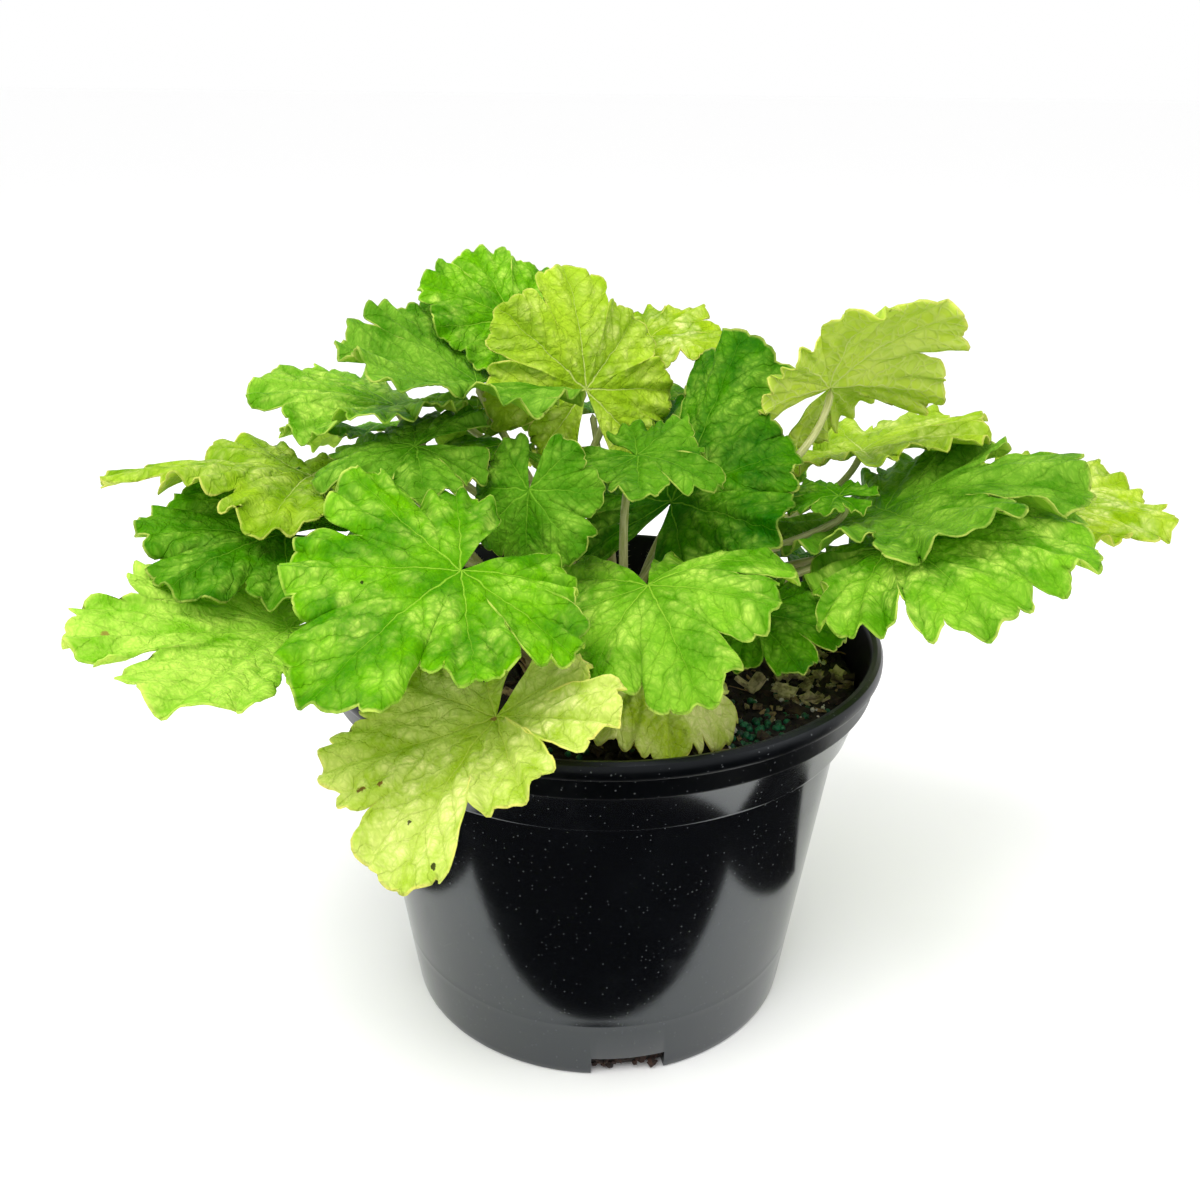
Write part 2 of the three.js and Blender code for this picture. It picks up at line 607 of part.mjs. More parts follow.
// The blade's middle surface: the hub, two inner rings with a point at each cut, tooth pair and
// tip, and the full edge. The fan is open at the basal cut, which reaches the hub.
function bladeSheet(leaf) {
  const columns = [];
  for (let k = 0; k < LOBE_ANGLES.length; k += 1) {
    for (const u of EDGE_STEPS) columns.push([k, u]);
  }
  columns.push([LOBE_ANGLES.length - 1, 1]);
  const points = [new THREE.Vector3()];
  const addRow = (share, step) => {
    const row = [];
    for (let i = 0; i < columns.length; i += step) {
      row.push(points.length);
      points.push(bladePoint(leaf, ...columns[i], share));
    }
    return row;
  };
  const inner = addRow(RINGS[0], 3);
  const outer = addRow(RINGS[1], 3);
  const edge = addRow(1, 1);
  const faces = [];
  for (let j = 0; j < inner.length - 1; j += 1) {
    faces.push([0, inner[j], inner[j + 1]]);
    const even = j % 2 === 0;
    faces.push([inner[j], outer[j], even ? outer[j + 1] : inner[j + 1]]);
    faces.push(even ? [inner[j], outer[j + 1], inner[j + 1]] : [inner[j + 1], outer[j], outer[j + 1]]);
    const [a, b, c, d] = edge.slice(3 * j, 3 * j + 4);
    faces.push([outer[j], a, b], even ? [outer[j], b, c] : [outer[j], b, outer[j + 1]]);
    faces.push(even ? [outer[j], c, outer[j + 1]] : [outer[j + 1], b, c], [outer[j + 1], c, d]);
  }
  const last = inner.length - 1;
  const loop = [0, inner[0], outer[0], ...edge, outer[last], inner[last]];
  return { points, faces, loop };
}

function sheetNormals(points, faces) {
  const sheet = new THREE.BufferGeometry().setFromPoints(points);
  sheet.setIndex(faces.flat());
  sheet.computeVertexNormals();
  return points.map((_, i) => new THREE.Vector3().fromBufferAttribute(sheet.attributes.normal, i));
}

// Gives the sheet its thickness: the same triangles above and below, and a strip round the edge.
function bladeSolid(leaf) {
  const { points, faces, loop } = bladeSheet(leaf);
  const normals = sheetNormals(points, faces);
  const above = points.map((p, i) => p.clone().addScaledVector(normals[i], BLADE_HALF));
  const below = points.map((p, i) => p.clone().addScaledVector(normals[i], -BLADE_HALF));
  const n = points.length;
  const triangles = [...faces, ...faces.map(([a, b, c]) => [c + n, b + n, a + n])];
  loop.forEach((a, i) => {
    const b = loop[(i + 1) % loop.length];
    triangles.push([b, a, a + n], [b, a + n, b + n]);
  });
  const geometry = new THREE.BufferGeometry().setFromPoints([...above, ...below]);
  geometry.setIndex(triangles.flat());
  const { along, left, up } = bladeFrame(leaf);
  const pose = new THREE.Matrix4().makeBasis(along, left, up).setPosition(...leaf.hub);
  return solid(geometry.applyMatrix4(pose));
}

function makeLeaf(leaf) {
  const skin = new THREE.MeshStandardMaterial({ color: TONES[leaf.tone], roughness: 0.5 });
  return meshOf(leaf.name, bladeSolid(leaf).add(stalkSolid(leaf)), skin);
}

// ---- the potted plant -------------------------------------------------------------------------

const pottedPlant = new THREE.Group();
pottedPlant.add(makePot(), makeSoil(), makeCrown());
for (const leaf of LEAVES) pottedPlant.add(makeLeaf(leaf));

export default pottedPlant;
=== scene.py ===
# %% [markdown]
# # A heuchera in its nursery pot
# The plant is a low dome of lobed, ruffled leaves. Each leaf is a thin blade on its own slender
# stalk, and all the stalks rise from a woody crown in the middle of a squat black pot. We work
# in metres, with +Z up and the origin under the centre of the pot, exactly where the solid model
# has it. So we load that model first.

import json
import math
import random

import bpy
import numpy as np
from mathutils import Matrix, Vector, noise

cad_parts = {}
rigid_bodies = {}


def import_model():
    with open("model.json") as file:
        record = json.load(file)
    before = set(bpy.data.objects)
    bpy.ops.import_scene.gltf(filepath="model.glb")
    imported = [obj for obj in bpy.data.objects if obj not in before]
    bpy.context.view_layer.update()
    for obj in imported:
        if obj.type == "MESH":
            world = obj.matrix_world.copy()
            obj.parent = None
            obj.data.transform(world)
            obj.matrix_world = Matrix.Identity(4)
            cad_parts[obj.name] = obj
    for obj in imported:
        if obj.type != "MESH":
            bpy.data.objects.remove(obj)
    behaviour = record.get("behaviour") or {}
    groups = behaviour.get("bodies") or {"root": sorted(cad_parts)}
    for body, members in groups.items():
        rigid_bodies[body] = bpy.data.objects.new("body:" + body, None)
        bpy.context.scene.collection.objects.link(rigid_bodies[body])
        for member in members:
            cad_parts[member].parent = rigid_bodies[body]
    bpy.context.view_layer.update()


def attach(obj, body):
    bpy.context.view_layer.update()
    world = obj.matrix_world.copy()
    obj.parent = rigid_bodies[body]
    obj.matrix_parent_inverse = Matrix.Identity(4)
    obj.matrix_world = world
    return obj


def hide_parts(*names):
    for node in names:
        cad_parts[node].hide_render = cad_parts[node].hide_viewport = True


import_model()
MM = 0.001

# %% [markdown]
# ## Camera
# A camera about 45 cm from the pot looks down on it at a little under 23 degrees. So close, the
# top of the pot looks wider than it is, and a lens of 37 mm takes in the whole plant. The camera
# is rolled by a fraction of a degree, so we build its axes by hand and set them as a matrix.

# %% Camera
CAMERA_PLACE = Vector((-0.98, -409.3, 324.3)) * MM
CAMERA_TILT = math.radians(22.87)
CAMERA_ROLL = math.radians(0.64)
SENSOR_WIDTH = 36.0
LENS = 37.08


def camera_axes():
    """Right, up and back directions of the camera."""
    forward = Vector((0, math.cos(CAMERA_TILT), -math.sin(CAMERA_TILT)))
    level = Vector((1, 0, 0))
    upward = level.cross(forward)
    right = math.cos(CAMERA_ROLL) * level + math.sin(CAMERA_ROLL) * upward
    up = -math.sin(CAMERA_ROLL) * level + math.cos(CAMERA_ROLL) * upward
    return right, up, -forward


bpy.ops.object.select_all(action="DESELECT")
bpy.ops.object.camera_add()
camera = bpy.context.object
camera.name = "camera"
turned = Matrix(camera_axes()).transposed().to_4x4()
camera.matrix_world = Matrix.Translation(CAMERA_PLACE) @ turned
camera.data.sensor_width = SENSOR_WIDTH
camera.data.lens = LENS
camera.data.clip_start = 0.01
bpy.context.scene.camera = camera
print("camera at", [round(v, 4) for v in camera.location])

# %% [markdown]
# ## Helpers for meshes
# Most pieces start as one of Blender's primitives. Operators act on everything that is selected,
# so we clear the selection before each one. A few pieces, such as a curled leaf, can't be pulled
# into shape with operators alone. For those a flat grid gives the faces, and a formula then
# gives every point its place. What repeats is modelled once and copied.


# %% Mesh helpers
def select(*pieces):
    """Selects these pieces and nothing else. The first one is the active one."""
    bpy.ops.object.select_all(action="DESELECT")
    for piece in pieces:
        piece.select_set(True)
    if pieces:
        bpy.context.view_layer.objects.active = pieces[0]


def start_from(add, **settings):
    """Adds an object with one of Blender's operators, with nothing else selected."""
    select()
    add(**settings)
    return bpy.context.object


def points_of(piece):
    """The places of a mesh's points as an array."""
    places = np.zeros(3 * len(piece.data.vertices))
    piece.data.vertices.foreach_get("co", places)
    return places.reshape(-1, 3)


def move_points(piece, places):
    piece.data.vertices.foreach_set("co", np.ascontiguousarray(places, float).ravel())
    piece.data.update()


def rotated(places, turn):
    """The places turned about the origin by a matrix."""
    return places @ np.array(turn).T


def copy_of(shape, places):
    """A copy of a shape with a mesh of its own and its points at these places, in millimetres."""
    copy = bpy.data.objects.new(shape.name, shape.data.copy())
    bpy.context.collection.objects.link(copy)
    move_points(copy, places * MM)
    return copy


def new_grid(name, columns, rows):
    """A flat grid, with the column and the row of each of its points."""
    size = {"x_subdivisions": columns, "y_subdivisions": rows, "size": 2}
    piece = start_from(bpy.ops.mesh.primitive_grid_add, **size)
    piece.name = piece.data.name = name
    flat = points_of(piece)
    column = np.rint((flat[:, 0] + 1) / 2 * columns).astype(int)
    row = np.rint((flat[:, 1] + 1) / 2 * rows).astype(int)
    return piece, column, row


def select_all():
    bpy.ops.mesh.select_all(action="SELECT")


def edit(piece, *steps):
    """Runs operators on the whole mesh of one piece in edit mode."""
    select(piece)
    bpy.ops.object.mode_set(mode="EDIT")
    for step in (select_all, *steps):
        step()
    bpy.ops.object.mode_set(mode="OBJECT")


def merge_close():
    bpy.ops.mesh.remove_doubles(threshold=1e-6)


def face_outwards():
    bpy.ops.mesh.normals_make_consistent(inside=False)


def modify(piece, kind, **settings):
    """Adds a modifier and applies it."""
    select(piece)
    modifier = piece.modifiers.new(kind.lower(), kind)
    for key, value in settings.items():
        setattr(modifier, key, value)
    bpy.ops.object.modifier_apply(modifier=modifier.name)


def shade_smooth(piece):
    piece.data.polygons.foreach_set("use_smooth", [True] * len(piece.data.polygons))


def dress(piece, *finishes):
    for finish in finishes:
        piece.data.materials.append(finish)


def join(pieces, name):
    select(*pieces)
    bpy.ops.object.join()
    pieces[0].name = pieces[0].data.name = name
    return pieces[0]


def hand_over(piece, node):
    """Ties a finished piece to the root body of the solid model and hides the node it replaces."""
    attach(piece, "root")
    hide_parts(node)


print("mesh helpers ready")

# %% [markdown]
# ## Helpers for materials
# A material here is a small graph of nodes. Writing each node out takes many lines, so one
# helper adds a node, sets its plain inputs and links the others, and short functions stand for
# the sums that turn up again and again: products, steps, mixes of two colours.


# %% Material helpers
# Sockets that have to be given by number
PLACE_ON_OBJECT, ATTRIBUTE_NUMBER = 3, 2
MIX_SHARE, MIX_FIRST, MIX_SECOND, MIXED = 0, 6, 7, 2


class Finish:
    """A material and the graph behind it."""

    def __init__(self, name):
        self.material = bpy.data.materials.new(name)
        self.material.use_nodes = True
        self.tree = self.material.node_tree
        self.tree.nodes.clear()

    def node(self, kind, inputs=None, out=0, **settings):
        made = self.tree.nodes.new("ShaderNode" + kind)
        for key, value in settings.items():
            setattr(made, key, value)
        for key, value in (inputs or {}).items():
            if isinstance(value, bpy.types.NodeSocket):
                self.tree.links.new(value, made.inputs[key])
            else:
                made.inputs[key].default_value = value
        return made.outputs[out]

    def sum(self, operation, a, b=0.0):
        return self.node("Math", {0: a, 1: b}, operation=operation)

    def product(self, first, *others):
        for other in others:
            first = self.sum("MULTIPLY", first, other)
        return first

    def ramp(self, value, low, high, first=0.0, last=1.0):
        """Runs smoothly from first to last while value goes from low to high."""
        inputs = {"Value": value, "From Min": low, "From Max": high}
        inputs.update({"To Min": first, "To Max": last})
        return self.node("MapRange", inputs, interpolation_type="SMOOTHSTEP")

    def blend(self, share, a, b):
        """Colour a turning into colour b."""
        inputs = {MIX_SHARE: share, MIX_FIRST: a, MIX_SECOND: b}
        return self.node("Mix", inputs, out=MIXED, data_type="RGBA")

    def noise(self, where, scale, detail=3.0, roughness=0.55):
        inputs = {"Vector": where, "Scale": scale, "Detail": detail, "Roughness": roughness}
        return self.node("TexNoise", inputs)

    def numbers_of(self, vector):
        """The three numbers of a vector or of a colour."""
        return self.node("SeparateXYZ", {"Vector": vector}).node.outputs

    def place(self):
        return self.node("TexCoord", out=PLACE_ON_OBJECT)

    def attribute(self, name):
        return self.node("Attribute", out=ATTRIBUTE_NUMBER, attribute_name=name)

    def bump(self, height, strength, distance):
        return self.node("Bump", {"Height": height, "Strength": strength, "Distance": distance})

    def surface(self, colour, roughness, **more):
        """A Principled shader. An underscore in a name stands for a blank in the socket's name."""
        inputs = {"Base Color": colour, "Roughness": roughness}
        inputs.update({name.replace("_", " "): value for name, value in more.items()})
        return self.node("BsdfPrincipled", inputs)

    def finish(self, shader):
        output = self.tree.nodes.new("ShaderNodeOutputMaterial")
        self.tree.links.new(shader, output.inputs["Surface"])
        return self.material


def rgb(hex_code):
    """A screen colour such as '9cc432' as the linear colour that nodes use."""
    parts = [int(hex_code[i : i + 2], 16) / 255 for i in (0, 2, 4)]
    linear = [p / 12.92 if p <= 0.04045 else ((p + 0.055) / 1.055) ** 2.4 for p in parts]
    return (*linear, 1.0)


print("material helpers ready")

# %% [markdown]
# ## Floor and dark cloths
# The plant stands on a wide pale floor in a pale room. Glossy black plastic looks like nothing
# but what it mirrors. In such a room a pot would mirror only white, so dark cloths lie on the
# floor before the pot and at both sides of it, and leave a pale strip round its foot. Only
# mirror reflections see them. They give the wall its deep black bowl.

# %% Floor and dark cloths
FLOOR_SIZE = 60.0
CLOTH_FRONT = -0.093
CLOTH_SIDE = 0.122
CLOTH_BACK = 0.02
CLOTH_END = 2.5
CLOTH_HEIGHT = 0.0005

floor = start_from(bpy.ops.mesh.primitive_plane_add, size=FLOOR_SIZE)
floor.name = "floor"
paper = Finish("pale paper")
dress(floor, paper.finish(paper.surface(rgb("fefefe"), 0.9)))


def dark_cloth(left, right, near, far, material):
    """A black sheet on the floor that only mirror reflections see."""
    cloth = start_from(bpy.ops.mesh.primitive_plane_add, size=1)
    cloth.name = "dark_cloth"
    middle = [(left + right) / 2, (near + far) / 2, CLOTH_HEIGHT]
    move_points(cloth, points_of(cloth) * [right - left, far - near, 1] + middle)
    dress(cloth, material)
    for kind in ("camera", "diffuse", "shadow", "transmission"):
        setattr(cloth, "visible_" + kind, False)
    return cloth


fabric = Finish("black cloth")
black = fabric.finish(fabric.surface(rgb("060608"), 1.0))
cloths = [
    dark_cloth(-CLOTH_END, CLOTH_END, -CLOTH_END, CLOTH_FRONT, black),
    dark_cloth(-CLOTH_END, -CLOTH_SIDE, CLOTH_FRONT, CLOTH_BACK, black),
    dark_cloth(CLOTH_SIDE, CLOTH_END, CLOTH_FRONT, CLOTH_BACK, black),
]
print("floor", FLOOR_SIZE, "m wide,", len(cloths), "dark cloths")

# %% [markdown]
# ## Light
# The light is that of a studio, soft and almost without shadows: a bright pale room, a big soft
# panel above and a little in front, and a weaker one at each side. Big panels are chosen because
# a leaf's folds show in soft light, and because small lamps would glare on the plastic. The
# Standard view transform leaves white a plain white.

# %% Light
bpy.context.scene.view_settings.view_transform = "Standard"


def soft_panel(name, place, target, width, height, power):
    panel = start_from(bpy.ops.object.light_add, type="AREA", location=place)
    panel.name = name
    panel.data.shape = "RECTANGLE"
    panel.data.size = width
    panel.data.size_y = height
    panel.data.energy = power
    aim = Vector(target) - Vector(place)
    panel.rotation_euler = aim.to_track_quat("-Z", "Y").to_euler()
    return panel


MIDDLE = (0, 0, 0.17)
soft_panel("panel_above", (-0.3, -0.45, 1.25), MIDDLE, 0.9, 0.9, 13)
soft_panel("panel_left", (-1.15, -0.5, 0.6), MIDDLE, 0.6, 0.8, 3)
soft_panel("panel_right", (1.15, -0.4, 0.6), MIDDLE, 0.6, 0.8, 3)

world = bpy.data.worlds.new("pale room")
world.use_nodes = True
background = world.node_tree.nodes["Background"]
background.inputs["Color"].default_value = (1, 1, 1, 1)
background.inputs["Strength"].default_value = 1.0
bpy.context.scene.world = world
print("three soft panels in a pale room")

# %% [markdown]
# ## Pot
# The pot is one moulded shell: a thin tapered wall on a flat floor, a ledge where a wider band
# begins, a straight collar, and a rolled rim. All of that is one outline turned about the
# upright axis. It could be built from stacked cylinders, but a spun outline needs no joints
# between them. The outline runs from the middle of the underside up the outside, over the rim
# and down the inside. From here on, sizes are in millimetres and are scaled when points are set.

# %% Outline of the pot
POT_HEIGHT = 142
RIM_RADIUS = 100
RIM_DEPTH = 6
COLLAR_RADIUS = 98
COLLAR_DEPTH = 7.5
BAND_RADIUS = 95.2
BAND_FOOT_RADIUS = 91
BAND_DEPTH = 15
WALL_RADIUS = 87.5
FOOT_RADIUS = 72
WALL = 2
FLOOR = 2.4
RIM_FOOT = POT_HEIGHT - RIM_DEPTH
COLLAR_FOOT = RIM_FOOT - COLLAR_DEPTH
BAND_FOOT = COLLAR_FOOT - BAND_DEPTH
RING_LINE = 24  # height of a faint raised ring
RING_RISE = 0.035


def wall_point(height, out):
    """A point of the plain wall, or a little outside it."""
    return FOOT_RADIUS + (WALL_RADIUS - FOOT_RADIUS) * height / BAND_FOOT + out, height


POT_OUTLINE = [
    (0, 0),
    (FOOT_RADIUS - 3, 0),
    (FOOT_RADIUS, 0.7),
    wall_point(3, 0),
    wall_point(RING_LINE - 3, 0),
    wall_point(RING_LINE - 0.6, 0),
    wall_point(RING_LINE - 0.2, RING_RISE),
    wall_point(RING_LINE + 0.2, RING_RISE),
    wall_point(RING_LINE + 0.6, 0),
    wall_point(RING_LINE + 3, 0),
    wall_point(BAND_FOOT - 3, 0),
    (WALL_RADIUS, BAND_FOOT),
    (BAND_FOOT_RADIUS - 0.2, BAND_FOOT + 0.3),
    (BAND_FOOT_RADIUS, BAND_FOOT + 1),
    (BAND_RADIUS, COLLAR_FOOT),
    (COLLAR_RADIUS - 0.9, COLLAR_FOOT + 0.2),
    (COLLAR_RADIUS - 0.6, COLLAR_FOOT + 1),
    (COLLAR_RADIUS, RIM_FOOT),
    (RIM_RADIUS - 0.6, RIM_FOOT + 0.3),
    (RIM_RADIUS, RIM_FOOT + 1.6),
    (RIM_RADIUS, RIM_FOOT + 3.6),
    (RIM_RADIUS - 0.8, RIM_FOOT + 5.2),
    (RIM_RADIUS - 2.2, POT_HEIGHT),
    (RIM_RADIUS - 3.8, POT_HEIGHT - 0.5),
    (RIM_RADIUS - 4.8, POT_HEIGHT - 2),
    (BAND_RADIUS - WALL, COLLAR_FOOT),
    (BAND_FOOT_RADIUS - WALL, BAND_FOOT + 1),
    (WALL_RADIUS - WALL, BAND_FOOT - 1),
    (FOOT_RADIUS - WALL, FLOOR),
    (0, FLOOR),
]
print("outline of the pot:", len(POT_OUTLINE), "points")

# %% [markdown]
# ### Spinning and cutting the pot
# We lay a ring of points on the outline and spin it round the axis. The drain notches at the
# corner of wall and floor are cut afterwards with boxes, and a small bevel breaks every edge,
# because moulded plastic has no sharp ones.

# %% Spin and cut the pot
NOTCH_COUNT = 4
NOTCH_BEARING = -81.5
NOTCH_WIDTH = 26
NOTCH_HEIGHT = 8
NOTCH_REACH = 58
POT_STEPS = 160  # faces round the pot
SOFT_EDGE = 0.25  # width of the bevel
BEVEL_FROM = 35  # degrees
SHARPEST_SMOOTH = 30  # degrees; sharper edges stay edges


def turned_piece(name, outline, steps):
    """A closed solid: a ring of points laid on an outline of (radius, height), then spun."""
    piece = start_from(bpy.ops.mesh.primitive_circle_add, vertices=len(outline), radius=1)
    piece.name = piece.data.name = name
    move_points(piece, [[radius * MM, 0, height * MM] for radius, height in outline])

    def spin():
        about = {"center": (0, 0, 0), "axis": (0, 0, 1)}
        bpy.ops.mesh.spin(steps=steps, angle=2 * math.pi, use_auto_merge=False, **about)

    edit(piece, spin, select_all, merge_close, bpy.ops.mesh.delete_loose, select_all, face_outwards)
    return piece


def drain_cutter(bearing):
    """A box that cuts one notch into the corner of wall and floor."""
    cutter = start_from(bpy.ops.mesh.primitive_cube_add, size=1)
    outer = FOOT_RADIUS + 10
    depth = outer - NOTCH_REACH
    box = np.array([depth, NOTCH_WIDTH, 2 * NOTCH_HEIGHT])
    places = points_of(cutter) * box + [NOTCH_REACH + depth / 2, 0, 0]
    turn = Matrix.Rotation(math.radians(bearing), 3, "Z")
    move_points(cutter, rotated(places, turn) * MM)
    return cutter


pot = turned_piece("pot_shell", POT_OUTLINE, POT_STEPS)
for i in range(NOTCH_COUNT):
    cutter = drain_cutter(NOTCH_BEARING + i * 360 / NOTCH_COUNT)
    modify(pot, "BOOLEAN", object=cutter, operation="DIFFERENCE", solver="EXACT")
    bpy.data.objects.remove(cutter)
limit = {"limit_method": "ANGLE", "angle_limit": math.radians(BEVEL_FROM)}
modify(pot, "BEVEL", width=SOFT_EDGE * MM, segments=2, **limit)
select(pot)
bpy.ops.object.shade_smooth_by_angle(angle=math.radians(SHARPEST_SMOOTH))
print("pot:", len(pot.data.polygons), "faces")

# %% [markdown]
# ### The pot's plastic
# Black plastic is glossy where it is clean. Fine dust and dried splashes dull it in specks: the
# cells of a Voronoi texture, of which some get a dot. The moulding leaves a faint wave in the
# wall that makes reflections wander. Collar, rim and inside are scuffed from stacking and
# handling, so they get a duller version of the same plastic.

# %% The pot's plastic
SCUFFED_FROM = COLLAR_FOOT


def black_plastic(name, shine, dull, dust):
    """Shine is its index of refraction, dull its roughness, dust the size of the specks."""
    plastic = Finish(name)
    where = plastic.place()
    wave = plastic.noise(where, 14.0, 2.0)
    grain = plastic.noise(where, 700.0, 3.0)
    smear = plastic.ramp(plastic.noise(where, 35.0, 5.0, 0.65), 0.45, 0.75)
    cells = plastic.node("TexVoronoi", {"Vector": where, "Scale": 700.0}, feature="F1")
    chance = plastic.numbers_of(cells.node.outputs["Color"])[0]
    speck_size = plastic.ramp(chance, 0.4, 1.0, 0.0, dust)
    specks = plastic.sum("LESS_THAN", cells, speck_size)
    colour = plastic.blend(plastic.product(smear, 0.15), rgb("020305"), rgb("1a1e22"))
    colour = plastic.blend(plastic.product(specks, 0.14), colour, rgb("a8aeb0"))
    smeared = plastic.ramp(smear, 0.0, 1.0, dull, 1.5 * dull)
    rough = plastic.sum("ADD", smeared, plastic.product(specks, 0.2))
    height = plastic.sum("ADD", plastic.product(wave, 0.6), plastic.product(grain, 0.4 * dull))
    more = {"IOR": shine, "Specular_Tint": rgb("f0f8ff")}
    bump = plastic.bump(height, 0.12, 0.0012)
    return plastic.finish(plastic.surface(colour, rough, Normal=bump, **more))


pot.data.materials.clear()
glossy = black_plastic("glossy black plastic", 1.75, 0.13, 0.18)
scuffed = black_plastic("scuffed black plastic", 1.32, 0.32, 0.22)
dress(pot, glossy, scuffed)
for face in pot.data.polygons:
    inside = face.normal.xy.dot(face.center.xy) < 0
    face.material_index = int(inside or face.center.z > SCUFFED_FROM * MM)
hand_over(pot, "pot")
print("pot handed over")

# %% [markdown]
# ## Compost
# The pot is filled with bark compost up to 17 mm below the rim. Its body is again an outline
# turned about the axis, with many close rings on top. Blender's noise then lifts and sinks the
# points of the top, so that it lies in small heaps as poured compost does.

# %% Compost body
SOIL_LEVEL = 125
SOIL_LUMP = 1.4
CROWN_RADIUS = 30
CROWN_SINK = 10
SOIL_GAP = 0.35
SOIL_RING = 2.2  # from one ring of points on top to the next
SOIL_STEPS = 150
WIDENING = (BAND_RADIUS - BAND_FOOT_RADIUS) * (SOIL_LEVEL - BAND_FOOT) / BAND_DEPTH
SOIL_EDGE = BAND_FOOT_RADIUS + WIDENING - (WALL + SOIL_GAP + 0.3)
SOCKET_RADIUS = CROWN_RADIUS - 1

SOIL_SIDE = [
    (0, FLOOR + SOIL_GAP),
    (FOOT_RADIUS - WALL - SOIL_GAP, FLOOR + SOIL_GAP),
    (WALL_RADIUS - WALL - SOIL_GAP, BAND_FOOT - 1),
    (BAND_FOOT_RADIUS - WALL - SOIL_GAP - 0.2, BAND_FOOT + 1.4),
    (SOIL_EDGE, SOIL_LEVEL - SOIL_LUMP),
]
SOIL_HOLE = [(SOCKET_RADIUS, SOIL_LEVEL - CROWN_SINK), (0, SOIL_LEVEL - CROWN_SINK)]


def soil_height(x, y):
    """Height of the uneven top, in millimetres."""
    lump = math.sin(0.31 * x + 1) * math.cos(0.27 * y) + math.sin(0.13 * x - 0.17 * y)
    fine = noise.noise(Vector((x, y, 3)) * 0.16) + 0.6 * noise.noise(Vector((x, y, 9)) * 0.45)
    return SOIL_LEVEL + SOIL_LUMP * lump / 2 + 0.9 * fine


ring_count = int((SOIL_EDGE - SOCKET_RADIUS) / SOIL_RING)
soil_top = [(SOIL_EDGE - 1 - i * SOIL_RING, SOIL_LEVEL) for i in range(ring_count)]
soil = turned_piece("soil_body", SOIL_SIDE + soil_top + SOIL_HOLE, SOIL_STEPS)
places = points_of(soil)
level = np.abs(places[:, 2] - SOIL_LEVEL * MM) < 1e-5
for i in np.nonzero(level)[0]:
    places[i, 2] = soil_height(places[i, 0] / MM, places[i, 1] / MM) * MM
move_points(soil, places)
shade_smooth(soil)
print("compost body:", len(soil.data.polygons), "faces")

# %% [markdown]
# ### Bits in the compost
# What makes it read as compost is the mix lying on it: dark crumbs, tan bark chips, green
# fertilizer prills, pale grit and a few roots. Particles could strew them, but a mesh of our own
# can be kept and exported. So each shape is modelled once, with few faces because there will be
# hundreds of it. A random number for each point makes a lump rough and a chip ragged.


# %% Shapes of the bits
def crumb_shape(roughness, seed):
    """A small rough lump of 20 faces, about 2 across."""
    lump = start_from(bpy.ops.mesh.primitive_ico_sphere_add, subdivisions=1, radius=1)
    draw = random.Random(seed)
    places = points_of(lump)
    places *= 1 + roughness * np.array([[draw.uniform(-1, 1)] for _ in places])
    move_points(lump, places)
    return lump


def chip_shape(seed):
    """A flat splinter of bark, 2 long, with broken ends."""
    chip = start_from(bpy.ops.mesh.primitive_cube_add, size=2)
    edit(chip, lambda: bpy.ops.mesh.subdivide(number_cuts=1))
    draw = random.Random(seed)
    places = points_of(chip) * [1, 0.56, 0.26]
    places += np.array([[draw.uniform(-0.12, 0.12) for _ in range(3)] for _ in places])
    places[:, 2] += 0.1 * places[:, 0] ** 2
    move_points(chip, places)
    return chip


def prill_shape():
    prill = start_from(bpy.ops.mesh.primitive_ico_sphere_add, subdivisions=2, radius=1)
    shade_smooth(prill)
    return prill


def root_shape(seed):
    """A thin bent rootlet, 2 long, rolled up from a grid."""
    sides, steps = 5, 9
    root, column, row = new_grid("root", sides, steps)
    along = 2 * row / steps - 1
    turn = 2 * math.pi * column / sides
    radius = 0.035 * (1 - along**2) ** 0.3 + 0.001
    bend = 0.35 * np.sin(2.2 * along + seed) + 0.12 * np.sin(5 * along)
    lift = 0.12 * np.cos(3.1 * along + 2 * seed)
    places = np.stack([along, bend + radius * np.cos(turn), lift + radius * np.sin(turn)], axis=1)
    move_points(root, places)
    edit(root, merge_close, face_outwards)
    shade_smooth(root)
    return root


print("shapes: crumb, chip, prill, rootlet")

# %% [markdown]
# ### Where the bits lie
# Crumbs lie all over the top. Prills and pale chips were poured, so most of them lie in clumps.
# Dark crumbs also fill the drain notches: partly compost that shows there, partly painted shade
# for the dark inside of the notches. Each copy is turned, scaled and set in its place by random
# numbers of its own. They come from a seeded generator, so every run gives the same pot.

# %% Places of the bits
DRAINS = "drains"
PRILL_CLUMPS = [(50, -52), (62, -38), (-20, -70), (-66, 24), (20, 72)]
CHIP_CLUMPS = [(76, -10), (69, -26), (80, 8), (-48, -54), (-60, 44), (44, 66), (-2, 76)]
CLUMP_SPREAD = 8
EDGE_CLEAR = 2.5
# The crumbs in the drain notches are partly painted shade: they darken the inside of the notches.
DRAIN_OUT = (NOTCH_REACH + 3, FOOT_RADIUS - 1.2)  # where crumbs show in the drain notches
DRAIN_SIDE = NOTCH_WIDTH / 2 - 1.7
DRAIN_LEVELS = (FLOOR, NOTCH_HEIGHT - 0.8)


def spot_on_soil(draw, clumps):
    """A place on the ring of open soil. Some kinds of bits lie in clumps, as they were poured."""
    while clumps:
        x, y = (c + draw.gauss(0, CLUMP_SPREAD) for c in draw.choice(clumps))
        if SOCKET_RADIUS < math.hypot(x, y) < SOIL_EDGE - EDGE_CLEAR:
            return x, y, soil_height(x, y)
    radius = math.sqrt(draw.uniform((SOCKET_RADIUS - 2) ** 2, (SOIL_EDGE - EDGE_CLEAR) ** 2))
    angle = draw.uniform(0, 2 * math.pi)
    x, y = radius * math.cos(angle), radius * math.sin(angle)
    return x, y, soil_height(x, y)


